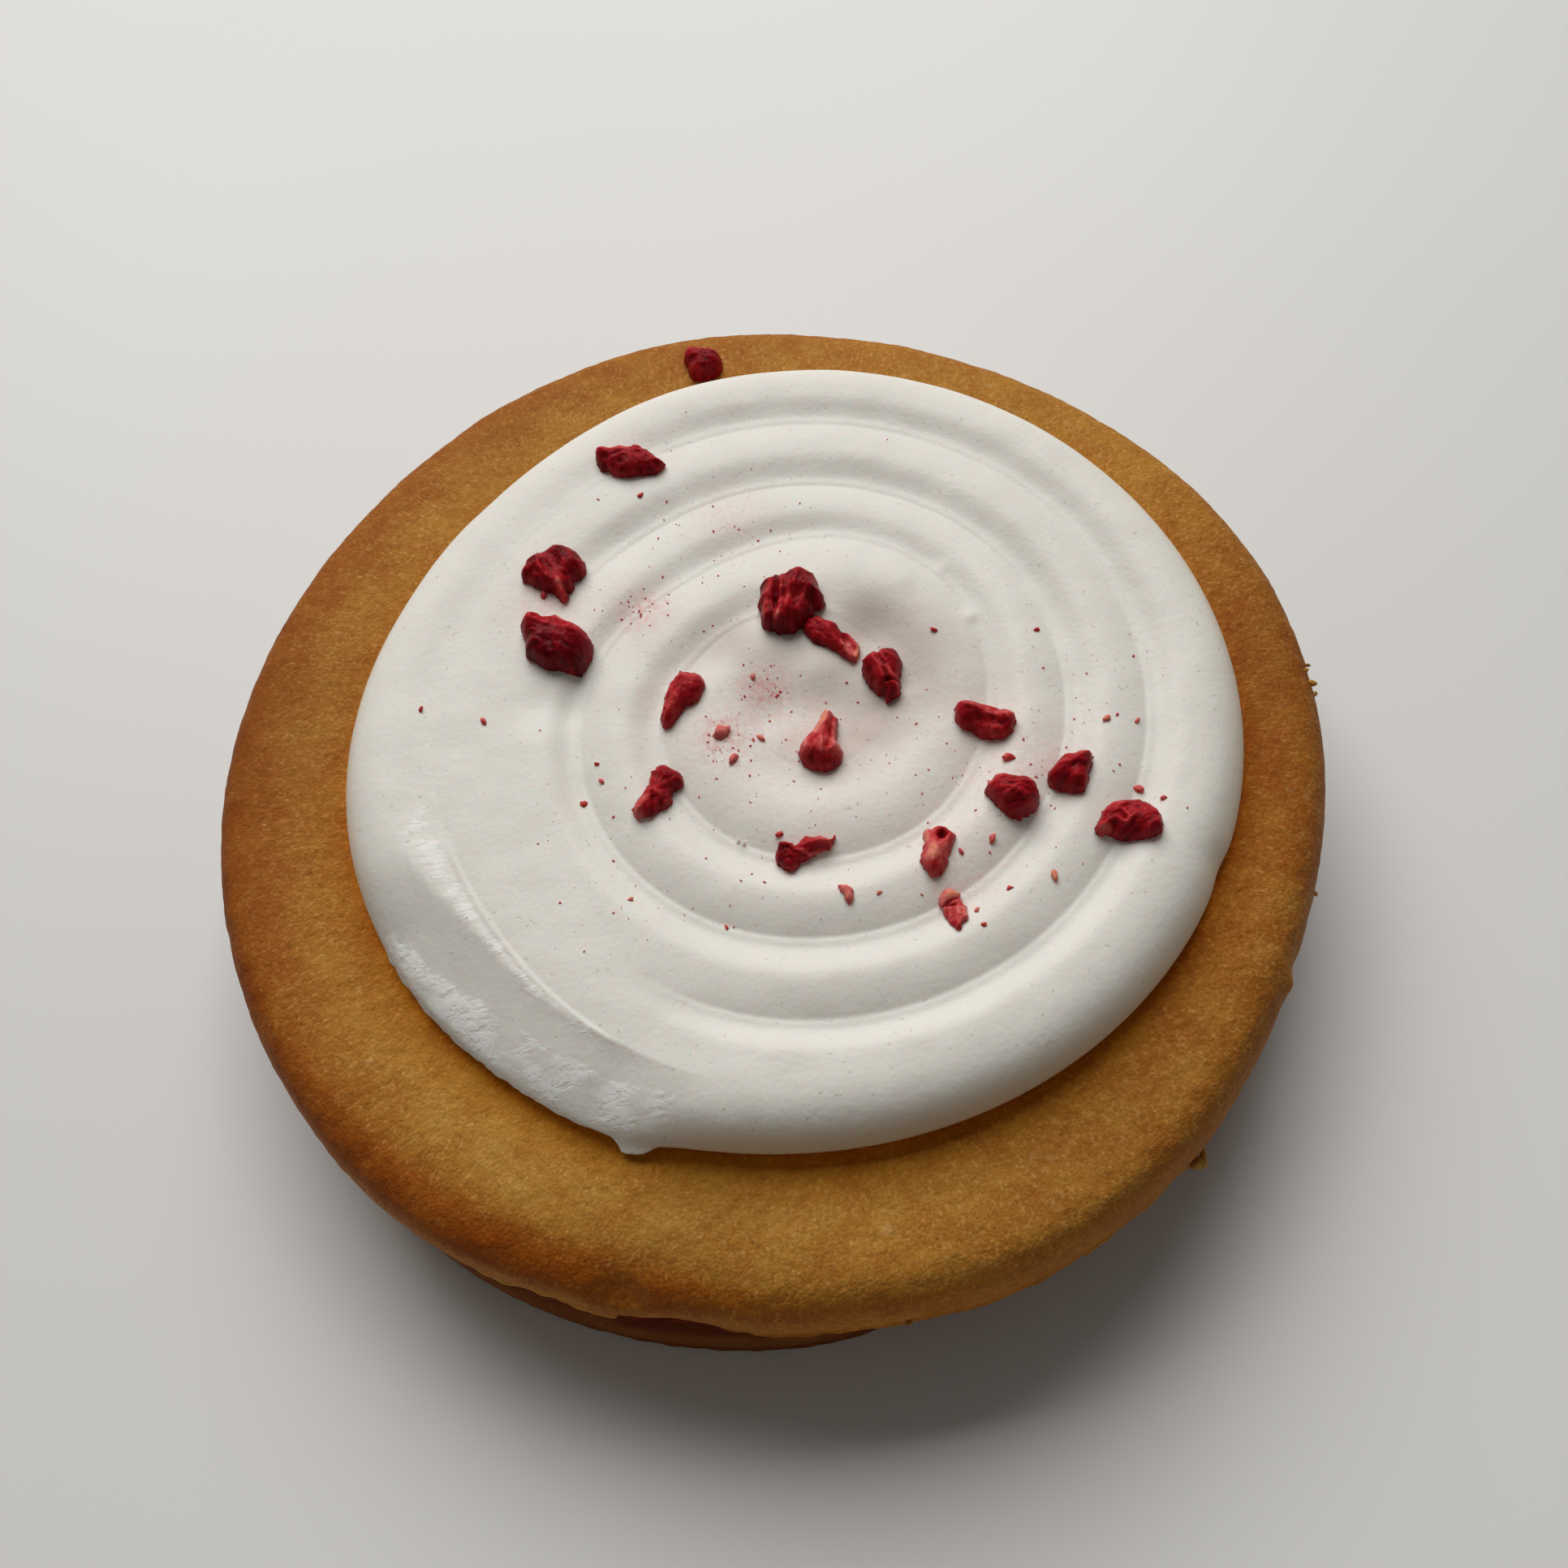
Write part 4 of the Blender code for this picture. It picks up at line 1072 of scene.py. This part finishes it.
def raspberry(number, bed):
    """A freeze-dried piece: a slab of its outline raised to a dome, folded, wrinkled and set on the icing."""
    tall, redness, direction, outline, folds = RASPBERRIES[number]
    outline = [(x, y * LEAN) for x, y in outline]
    node = f"raspberry_{number:02d}"
    low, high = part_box(node)
    middle = (low + high) / 2 + Vector((0.0, NUDGES.get(number, NUDGE), 0.0)) * MM
    piece = slab(f"raspberry_piece_{number:02d}", outline)
    seed = Vector((number * 5.3, number * 2.9, number * 1.1))
    turn = Matrix.Rotation(-math.radians(direction), 3, "Z")
    set_down = Matrix.Rotation(VIEW_TURN, 3, "Z")
    edges = [(*corner, *outline[index - 1]) for index, corner in enumerate(outline)]
    normals = [vert.normal.copy() for vert in piece.data.vertices]
    flesh = []
    for vert, normal in zip(piece.data.vertices, normals):
        spot = vert.co.copy()
        up = limited(spot.z / SLAB)
        spot.z = 0.0
        inward = min(off_line(spot.x, spot.y, edge) for edge in edges)
        dome = math.sqrt(max(0.0, 1.0 - (1.0 - min(inward / DOME_WIDTH, 1.0)) ** 2))
        along = turn @ spot
        wrinkled = Vector((along.x * WRINKLE_STRETCH, along.y, 0.0))
        big = ridges(wrinkled, BIG_RIDGES, seed)
        small = ridges(wrinkled, SMALL_RIDGES, seed)
        fine = noise.noise(spot * 6.0 + seed)
        lump = noise.noise(spot * 0.7 + seed * 2.0)
        height = THIN_EDGE + (tall - THIN_EDGE) * dome * (0.88 + 0.25 * lump)
        height += dome * (0.13 * big + 0.08 * small) + 0.04 * fine
        tone = redness + 0.08 + 0.10 * big + 0.13 * small + 0.05 * fine
        for *line, width, lift, redder in folds:
            near = bell(off_line(spot.x, spot.y, line), width)
            height += near * lift * min(1.0, dome * 1.3)
            tone += near * redder
        side = Vector((normal.x, normal.y, 0.0))
        standing = spot + UP * up * height
        ragged = 0.13 * noise.noise(standing * 2.6 + seed) + 0.08 * noise.noise(standing * 6.5 + seed)
        spot += side * (ragged - 0.14 * (1.0 - up) ** 2)
        place = set_down @ spot * MM + middle
        ground = ground_below(bed, place.x, place.y)
        floor = ROUND_HIGH if ground is None else ground.z
        vert.co = (place.x, place.y, floor - SINK + up * max(LOWEST_TOP, height) * MM)
        flesh.append(limited(tone))
    paint(piece, "flesh", flesh)
    close_up(piece, DOUBLES)
    return serve(piece, dried_raspberry(), "raspberry", node)


# ---------------------------------------------------------------- crumbs

# The larger raspberry crumbs: x, y, size (mm)
LARGE_CRUMBS = (
    (-18.9, 3.0, 0.6), (-2.5, -1.0, 1.3), (-1.9, -3.2, 0.9), (17.6, -15.5, 0.8), (14.6, -15.8, 0.45),
    (20.6, 3.2, 0.5), (13.5, 4.5, 0.5), (-11.1, -3.1, 0.45), (0.4, -9.3, 0.6), (24.6, -10.2, 0.7),
    (16.5, -6.5, 0.9), (14.2, -12.2, 0.7), (23.6, -4.9, 0.6), (25.7, -5.2, 0.55), (12.2, -16.9, 0.45),
    (0.2, -1.7, 0.6), (0.3, 3.1, 0.5), (-13.9, 12.9, 0.7), (-5.9, 20.5, 0.5), (-4.0, -15.1, 0.4),
    (-10.0, -12.2, 0.4), (-11.3, -1.7, 0.4), (-12.5, -4.4, 0.5), (-23.3, 4.9, 0.5), (14.9, -8.1, 0.5),
    (12.0, -12.8, 0.45), (25.9, -11.3, 0.5), (21.9, -7.5, 0.4), (6.2, -14.7, 0.4), (12.4, -18.1, 0.4),
)
# Where finer crumbs lie: x, y, spread (mm), how many
CRUMB_DRIFTS = (
    (1.1, 2.1, 1.8, 40), (-2.0, -1.4, 2.0, 60), (-6.9, 10.6, 2.0, 30), (4.0, -4.0, 9.0, 130),
    (17.0, -9.0, 6.0, 80), (0.0, 12.0, 8.0, 60), (-10.0, -8.0, 8.0, 60), (24.0, -3.0, 4.0, 35),
    (0.0, 20.0, 8.0, 25),
)
# Loose crumbs of shortbread on the top round's side: direction (degrees), height over the table, size (mm)
BISCUIT_CRUMBS = (
    (-2.7, 12.9, 0.7), (-3.6, 12.4, 0.5), (-1.2, 13.1, 0.4), (-0.2, 12.5, 0.5), (-85.0, 8.3, 0.5),
    (-54.1, 8.2, 1.3), (-53.2, 8.3, 0.8), (-25.0, 10.5, 0.4), (-147.0, 8.4, 0.4), (120.0, 8.4, 0.5),
    (76.0, 9.5, 0.4), (160.0, 8.5, 0.5), (35.0, 8.5, 0.5),
)
DRIFT_SPREAD = 0.6              # share of a drift's spread within which most of its crumbs lie
LARGEST_CRUMB = 1.2             # crumbs over this size (mm) have one tone, the others a drawn one
CRUMB_BROWN = 0.05              # how brown the crumbs of shortbread are
CRUMB_STAND = 0.12               # share of its size by which a crumb's middle stands over the icing


def crumb_shapes(count, divisions):
    """A few different uneven lumps, as lists of corners and faces."""
    shapes = []
    for shape in range(count):
        deselect_all()
        bpy.ops.mesh.primitive_ico_sphere_add(subdivisions=divisions, radius=0.5)
        made = bpy.context.object
        seed = Vector((shape * 7.0, 0.0, 0.0))
        corners = [vert.co * (1.0 + 0.6 * noise.noise(vert.co * 2.3 + seed)) for vert in made.data.vertices]
        shapes.append((corners, [list(face.vertices) for face in made.data.polygons]))
        bpy.data.objects.remove(made)
    return shapes


def crumb_cloud(name, shapes, places):
    """Copies a few crumb shapes to all their places, as one mesh."""
    vertices, faces = [], []
    for index, (spot, size, turn, squash) in enumerate(places):
        corners, sides = shapes[index % len(shapes)]
        place = Matrix.Translation(spot) @ Matrix.Rotation(turn, 4, "Z") @ Matrix.Rotation(turn * 1.7, 4, "X")
        place = place @ Matrix.Diagonal((size, size * squash, size * 0.55, 1.0))
        first = len(vertices)
        vertices += [place @ corner for corner in corners]
        faces += [[first + corner for corner in side] for side in sides]
    mesh = bpy.data.meshes.new(name)
    mesh.from_pydata(vertices, [], faces)
    piece = bpy.data.objects.new(name, mesh)
    bpy.context.scene.collection.objects.link(piece)
    return piece


def red_crumbs(bed):
    """Large crumbs at their places and finer ones in drifts, all lying on the icing."""
    draw = random.Random(5)
    fine = []
    for x, y, spread, count in CRUMB_DRIFTS:
        for _ in range(count):
            size = 0.08 + 0.20 * draw.random() ** 3
            fine.append((draw.gauss(x, spread * DRIFT_SPREAD), draw.gauss(y, spread * DRIFT_SPREAD), size))
    pieces = []
    tones = []
    kinds = (("large", LARGE_CRUMBS, crumb_shapes(8, 2)), ("fine", fine, crumb_shapes(6, 1)))
    for name, group, shapes in kinds:
        places = []
        for x, y, size in group:
            spot = ROUND_CENTRE + Vector((x, y, 0.0)) * MM
            ground = ground_below(bed, spot.x, spot.y)
            if ground is None:
                continue
            spot = ground + UP * CRUMB_STAND * size * MM
            places.append((spot, size * MM, draw.uniform(0.0, math.tau), draw.uniform(0.45, 0.9)))
            tone = draw.uniform(0.60, 1.0) if size < LARGEST_CRUMB else 0.85
            tones += [tone] * len(shapes[(len(places) - 1) % len(shapes)][0])
        pieces.append(crumb_cloud("raspberry_crumbs_" + name, shapes, places))
    pick(pieces[0])
    pieces[1].select_set(True)
    bpy.ops.object.join()
    crumbs = named("raspberry_crumbs")
    paint(crumbs, "flesh", [
        limited(tone + 0.15 * grain(vert.co, 0.5 * MM, 31.0))
        for tone, vert in zip(tones, crumbs.data.vertices)
    ])
    close_up(crumbs, CRUMB_DOUBLES)
    return serve(crumbs, dried_raspberry(), "raspberry")


def biscuit_crumbs(side):
    """Crumbs that cling to the side of the top round."""
    draw = random.Random(9)
    places = []
    for direction, height, size in BISCUIT_CRUMBS:
        outward = ray(math.radians(direction))
        start = ROUND_CENTRE + outward * 2.0 * ROUND_RADIUS + UP * height * MM
        hit, spot, _, _ = side.ray_cast(start, -outward)
        if hit:
            spot = spot + outward * 0.25 * size * MM
            places.append((spot, size * MM, draw.uniform(0.0, math.tau), draw.uniform(0.5, 0.9)))
    crumbs = crumb_cloud("shortbread_crumbs", crumb_shapes(6, 2), places)
    close_up(crumbs, CRUMB_DOUBLES)
    paint_by_place(crumbs, brown=lambda spot: CRUMB_BROWN)
    return serve(crumbs, shortbread(), "shortbread")


# ---------------------------------------------------------------- materials

# The crust from the palest gold to the dark rim
CRUST_COLOURS = (
    (0, (0.53, 0.28, 0.052)), (0.25, (0.46, 0.207, 0.029)), (0.45, (0.4, 0.152, 0.02)),
    (0.65, (0.345, 0.106, 0.013)), (0.85, (0.29, 0.076, 0.008)), (1, (0.24, 0.055, 0.005)),
)
SUGAR_GRAIN = (0.66, 0.37, 0.10)
PALE_FLECK = (0.84, 0.47, 0.15)
FLOUR = (0.70, 0.43, 0.18)
DARK_GRAIN = (0.17, 0.05, 0.008)
PIT = (0.12, 0.035, 0.006)
# painted shadow of the icing on the crust, warm in tone
DAMP = (0.92, 0.74, 0.32)
# painted glow: warm light painted on the crust
GLOW = (1.60, 1.30, 0.45)
# jam stain and painted shade on the lower round
JAM_STAIN = (0.15, 0.023, 0.001)
JAM_COLOURS = ((0.3, (0.10, 0.010, 0.001)), (0.7, (0.20, 0.024, 0.002)))
CREAM_COLOURS = ((0.3, (0.82, 0.80, 0.74)), (0.7, (0.86, 0.84, 0.78)))
# juice stain with painted shade
SOAKED_GREY = (0.72, 0.66, 0.64)
# painted warm bounce and shade on the icing's front foot
WARM_FOOT = (1.0, 0.86, 0.68)
# painted shade in the hollow band of the tail
BARE_GREY = (0.86, 0.86, 0.86)
TORN_WHITE = (0.98, 0.97, 0.93)
PINK_SMEAR = (0.74, 0.24, 0.24)
PINK_HAZE = (0.80, 0.50, 0.47)
SPECK = (0.45, 0.38, 0.32)
# Dried raspberry from its dark skin to its pale inside
RASPBERRY_COLOURS = (
    (0, (0.085, 0.001, 0.003)), (0.2, (0.2, 0.002, 0.006)), (0.45, (0.42, 0.01, 0.018)),
    (0.7, (0.6, 0.075, 0.072)), (0.85, (0.7, 0.17, 0.16)), (1, (0.78, 0.27, 0.17)),
)
TABLE_COLOURS = ((0.4, (0.80, 0.80, 0.79)), (0.6, (0.82, 0.82, 0.81)))


class Finish:
    """A material under construction, with short ways to add and join its nodes."""

    def __init__(self, name):
        self.material = bpy.data.materials.new(name)
        self.material.use_nodes = True
        self.tree = self.material.node_tree
        self.shader = self.tree.nodes["Principled BSDF"]
        self.place = self.add("TexCoord").outputs["Object"]

    def add(self, kind, **settings):
        node = self.tree.nodes.new("ShaderNode" + kind)
        for setting, value in settings.items():
            setattr(node, setting, value)
        return node

    def feed(self, socket, value):
        """Sets a socket to a number, a vector or a colour, or joins it to another node's output."""
        if isinstance(value, (int, float)):
            socket.default_value = value
        elif isinstance(value, tuple):
            socket.default_value = value if socket.type == "VECTOR" else (*value, 1.0)
        else:
            self.tree.links.new(value, socket)

    def fitted(self, node, **values):
        """A node with its inputs fed by name."""
        for name, value in values.items():
            self.feed(node.inputs[name], value)
        return node

    def painted(self, name):
        return self.add("Attribute", attribute_name=name).outputs["Fac"]

    def noise(self, size, detail=2.0, roughness=0.5, place=None):
        """Noise with lumps of about the given size."""
        node = self.add("TexNoise")
        self.fitted(node, Scale=1.0 / size, Detail=detail, Roughness=roughness, Vector=place or self.place)
        return node.outputs["Fac"]

    def drawn_out(self, degrees, stretch):
        """The place, stretched along one level direction, for noise that lies in streaks."""
        node = self.add("Mapping", vector_type="TEXTURE")
        turn = (0.0, 0.0, math.radians(degrees))
        self.fitted(node, Rotation=turn, Scale=(stretch, 1.0, 1.0), Vector=self.place)
        return node.outputs["Vector"]

    def arrows(self, operation, first, second):
        """One operation on two vectors, or on a vector and a scale."""
        node = self.add("VectorMath", operation=operation)
        self.feed(node.inputs[0], first)
        if operation != "NORMALIZE":
            self.feed(node.inputs["Scale"] if operation == "SCALE" else node.inputs[1], second)
        return node.outputs["Vector"]

    def outward(self, radius, kept):
        """The place drawn in towards the upright axis, for noise in streaks that point outwards."""
        level = self.arrows("MULTIPLY", self.place, (1.0, 1.0, 0.0))
        ring = self.arrows("SCALE", self.arrows("NORMALIZE", level, None), radius)
        return self.arrows("ADD", ring, self.arrows("MULTIPLY", self.place, (kept, kept, 1.0)))

    def grains(self, size, unevenness):
        """Uneven grains of a size: a random value for each, and the distance from its middle."""
        warp = self.fitted(self.add("TexNoise"), Scale=0.8 / size, Vector=self.place)
        push = self.arrows("SCALE", warp.outputs["Color"], 2.0 * unevenness * size)
        moved = self.arrows("ADD", self.place, push)
        cells = self.fitted(self.add("TexVoronoi", feature="F1"), Scale=1.0 / size, Vector=moved)
        parts = self.fitted(self.add("SeparateColor"), Color=cells.outputs["Color"])
        return parts.outputs["Red"], cells.outputs["Distance"]

    def ramp(self, value, *stops):
        """A colour ramp through (position, colour or grey) stops."""
        node = self.add("ValToRGB")
        elements = node.color_ramp.elements
        while len(elements) < len(stops):
            elements.new(0.5)
        for element, (position, colour) in zip(elements, stops):
            element.position = position
            element.color = (*colour, 1.0) if isinstance(colour, tuple) else (colour, colour, colour, 1.0)
        return self.fitted(node, Fac=value).outputs["Color"]

    def rising(self, value, start, end):
        return self.ramp(value, (start, 0.0), (end, 1.0))

    def falling(self, value, start, end):
        return self.ramp(value, (start, 1.0), (end, 0.0))

    def maths(self, operation, first, second, clamp=False):
        node = self.add("Math", operation=operation, use_clamp=clamp)
        self.feed(node.inputs[0], first)
        self.feed(node.inputs[1], second)
        return node.outputs["Value"]

    def times(self, first, second, clamp=False):
        return self.maths("MULTIPLY", first, second, clamp)

    def plus(self, first, second, clamp=False):
        return self.maths("ADD", first, second, clamp)

    def swing(self, value, size):
        """A value between 0 and 1 turned into a change of plus or minus half the size."""
        return self.times(self.maths("SUBTRACT", value, 0.5), size)

    def mix(self, share, first, second, blend="MIX"):
        node = self.add("Mix", data_type="RGBA", blend_type=blend)
        for index, value in ((0, share), (6, first), (7, second)):
            self.feed(node.inputs[index], value)
        return node.outputs[2]

    def dabbed(self, base, mask, strength, colour):
        """A colour laid over the base where a mask says."""
        return self.mix(self.times(mask, strength), base, colour)

    def tinted(self, base, name, colour):
        """The base darkened by a colour where the painted attribute says."""
        return self.mix(self.painted(name), base, colour, "MULTIPLY")

    def bump(self, height, distance, strength, below=None):
        node = self.fitted(self.add("Bump"), Distance=distance, Strength=strength, Height=height)
        if below:
            self.feed(node.inputs["Normal"], below)
        return node.outputs["Normal"]

    def done(self, colour, normal=None, **values):
        """Sets the shader's own sockets by name and joins the colour and the bump."""
        for name, value in values.items():
            self.feed(self.shader.inputs[name.replace("_", " ")], value)
        self.feed(self.shader.inputs["Base Color"], colour)
        if normal:
            self.feed(self.shader.inputs["Normal"], normal)
        return self.material


made_once = functools.lru_cache(maxsize=None)


@made_once
def shortbread():
    """Baked crust: gold to brown, with pale grains of sugar and flour, a few dark specks and a sandy feel."""
    finish = Finish("shortbread_crust")
    mottle = finish.swing(finish.noise(2.8 * MM, 3.0), 0.62)
    fine = finish.swing(finish.noise(0.6 * MM), 0.25)
    level = finish.plus(finish.painted("brown"), finish.plus(mottle, fine), clamp=True)
    crust = finish.ramp(level, *CRUST_COLOURS)
    pale_where = finish.ramp(level, (0.45, 1.0), (0.9, 0.15))
    kind, middle = finish.grains(0.25 * MM, 0.5)
    sugar = finish.times(finish.rising(kind, 0.66, 0.95), pale_where)
    crust = finish.dabbed(crust, sugar, 0.22, SUGAR_GRAIN)
    streaks = finish.outward(36.0 * MM, 0.88)
    fleck = finish.rising(finish.noise(0.46 * MM, 3.0, 0.6, streaks), 0.56, 0.74)
    crust = finish.dabbed(crust, finish.times(fleck, pale_where), 0.5, PALE_FLECK)
    flour = finish.rising(finish.noise(1.7 * MM, 4.0, 0.65), 0.63, 0.78)
    crust = finish.dabbed(crust, finish.times(flour, pale_where), 0.45, FLOUR)
    crust = finish.dabbed(crust, finish.falling(kind, 0.0, 0.14), 0.25, DARK_GRAIN)
    pit = finish.falling(finish.noise(0.9 * MM, 1.0, place=streaks), 0.17, 0.21)
    crust = finish.dabbed(crust, pit, 0.6, PIT)
    # fine random flecks of brightness, darkened by the painted shade by direction
    light = finish.plus(0.86, finish.times(finish.noise(0.16 * MM, 1.0), 0.28))
    light = finish.times(light, finish.maths("SUBTRACT", 1.0, finish.painted("dull")))
    crust = finish.mix(1.0, crust, light, "MULTIPLY")
    # painted shadow of the icing
    crust = finish.tinted(crust, "damp", DAMP)
    # painted glow at the icing's foot and on the front side
    crust = finish.tinted(crust, "glow", GLOW)
    # jam stain and painted shade on the lower round
    crust = finish.mix(finish.painted("stain"), crust, JAM_STAIN)
    rounded = finish.maths("SUBTRACT", kind, finish.times(middle, 0.8))
    sand = finish.bump(rounded, 0.08 * MM, 0.6)
    sand = finish.bump(finish.noise(0.9 * MM), 0.22 * MM, 0.6, below=sand)
    return finish.done(crust, sand, Roughness=0.6, Specular_IOR_Level=0.08)


def jam_gloss():
    """Dark set jam, hardly shining in the gap between the rounds."""
    finish = Finish("jam_gloss")
    colour = finish.ramp(finish.noise(1.6 * MM), *JAM_COLOURS)
    lumpy = finish.bump(finish.noise(0.8 * MM), 0.15 * MM, 0.5)
    return finish.done(colour, lumpy, Roughness=0.5, Specular_IOR_Level=0.02)


def icing_sugar():
    """Set white icing: satin, with a faint grain, torn edges, tiny specks and smears of raspberry dust."""
    finish = Finish("icing_sugar")
    cream = finish.ramp(finish.noise(5.0 * MM), *CREAM_COLOURS)
    torn = finish.noise(0.6 * MM, 4.0, 0.65, finish.drawn_out(8.0, 2.8))
    torn = finish.plus(torn, finish.times(finish.painted("rough"), 0.30))
    torn = finish.times(finish.rising(torn, 0.66, 0.82), finish.painted("rough"))
    torn = finish.times(torn, finish.ramp(finish.noise(2.2 * MM, 1.0), (0.36, 0.15), (0.56, 1.0)))
    # juice stain and painted shade in the hollow at the middle
    cream = finish.tinted(cream, "soaked", SOAKED_GREY)
    # painted warm bounce and shade at the icing's front foot
    cream = finish.tinted(cream, "warm", WARM_FOOT)
    # painted shade in the tail's hollow band
    cream = finish.tinted(cream, "bare", BARE_GREY)
    cream = finish.mix(torn, cream, TORN_WHITE)
    smear = finish.rising(finish.noise(0.5 * MM, 3.0, 0.7), 0.42, 0.72)
    smear = finish.times(finish.times(smear, finish.painted("dust")), 0.9, clamp=True)
    cream = finish.mix(smear, cream, PINK_SMEAR)
    cream = finish.dabbed(cream, finish.painted("dust"), 0.26, PINK_HAZE)
    cream = finish.dabbed(cream, finish.falling(finish.noise(0.33 * MM, 0.0), 0.17, 0.20), 0.4, SPECK)
    grainy = finish.bump(finish.noise(0.35 * MM, 2.0, 0.6), 0.035 * MM, 0.6)
    grainy = finish.bump(finish.noise(1.4 * MM), 0.08 * MM, 0.5, below=grainy)
    grainy = finish.bump(torn, 0.05 * MM, 0.6, below=grainy)
    return finish.done(
        cream, grainy, Roughness=0.5, Specular_IOR_Level=0.35, Subsurface_Weight=0.3,
        Subsurface_Scale=1.2 * MM,
    )


@made_once
def dried_raspberry():
    """Dry, wrinkled fruit: dark red skin, crimson folds and pinkish orange flesh."""
    finish = Finish("dried_raspberry")
    patchy = finish.swing(finish.noise(0.4 * MM, 3.0, 0.6), 0.45)
    colour = finish.ramp(finish.plus(finish.painted("flesh"), patchy, clamp=True), *RASPBERRY_COLOURS)
    skin = finish.bump(finish.noise(0.18 * MM, 3.0, 0.65), 0.06 * MM, 0.8)
    return finish.done(
        colour, skin, Roughness=0.4, Specular_IOR_Level=0.1, Subsurface_Weight=0.35,
        Subsurface_Scale=0.7 * MM,
    )


# ---------------------------------------------------------------- stage, light and camera

TABLE_SIZE = 3.0
WINDOW_PLACE = Vector((-0.04, 0.70, 0.75))
WINDOW_SIZE = (0.95, 0.7)
WINDOW_WATTS = 10.6
DAYLIGHT = (1.0, 0.985, 0.96)
ROOM_LIGHT = (1.0, 0.95, 0.88, 1.0)
ROOM_STRENGTH = 0.105
CAMERA_TILT = 1.0985            # how far the camera looks down (radians)
CAMERA_ROLL = -0.1646
CAMERA_DISTANCE = 109.0 * MM
CAMERA_AIM = Vector((1.24, -3.70, 0.0)) * MM
SENSOR = 36.0
LENS = 35.4


def table():
    """A plain pale, slightly glossy surface to stand on."""
    deselect_all()
    bpy.ops.mesh.primitive_plane_add(size=TABLE_SIZE, location=(0.0, 0.0, 0.0))
    surface = named("table")
    finish = Finish("pale_table")
    colour = finish.ramp(finish.noise(0.15), *TABLE_COLOURS)
    surface.data.materials.append(finish.done(colour, Roughness=0.45, Specular_IOR_Level=0.35))


def studio():
    """Soft daylight from a tall window behind and above, with a dim pale room all round."""
    world = bpy.data.worlds.new("pale_room")
    bpy.context.scene.world = world
    world.use_nodes = True
    background = world.node_tree.nodes["Background"]
    background.inputs["Color"].default_value = ROOM_LIGHT
    background.inputs["Strength"].default_value = ROOM_STRENGTH
    pane = bpy.data.lights.new("tall_window", "AREA")
    pane.shape = "RECTANGLE"
    pane.size, pane.size_y = WINDOW_SIZE
    pane.energy = WINDOW_WATTS
    pane.color = DAYLIGHT
    made = bpy.data.objects.new("tall_window", pane)
    made.location = WINDOW_PLACE
    made.rotation_euler = WINDOW_PLACE.to_track_quat("Z", "Y").to_euler()
    bpy.context.scene.collection.objects.link(made)
    bpy.context.scene.view_settings.view_transform = "Standard"


def camera():
    """Looks down on the biscuit from the front, a little turned."""
    target = ROUND_CENTRE + CAMERA_AIM + UP * ROUND_HIGH
    back = Vector((0.0, -math.cos(CAMERA_TILT), math.sin(CAMERA_TILT)))
    right = Vector((1.0, 0.0, 0.0))
    up = right.cross(-back)
    across = right * math.cos(CAMERA_ROLL) + up * math.sin(CAMERA_ROLL)
    upright = up * math.cos(CAMERA_ROLL) - right * math.sin(CAMERA_ROLL)
    lens = bpy.data.cameras.new("camera")
    lens.sensor_width = SENSOR
    lens.lens = LENS
    lens.clip_start = 0.005
    made = bpy.data.objects.new("camera", lens)
    made.matrix_world = Matrix((across, upright, back)).transposed().to_4x4()
    made.location = target + back * CAMERA_DISTANCE
    bpy.context.scene.collection.objects.link(made)
    bpy.context.scene.camera = made


camera()
studio()
table()
bottom_round()
jam()
upper = top_round()
swirl = icing()
for number in RASPBERRIES:
    raspberry(number, swirl)
red_crumbs(swirl)
biscuit_crumbs(upper)
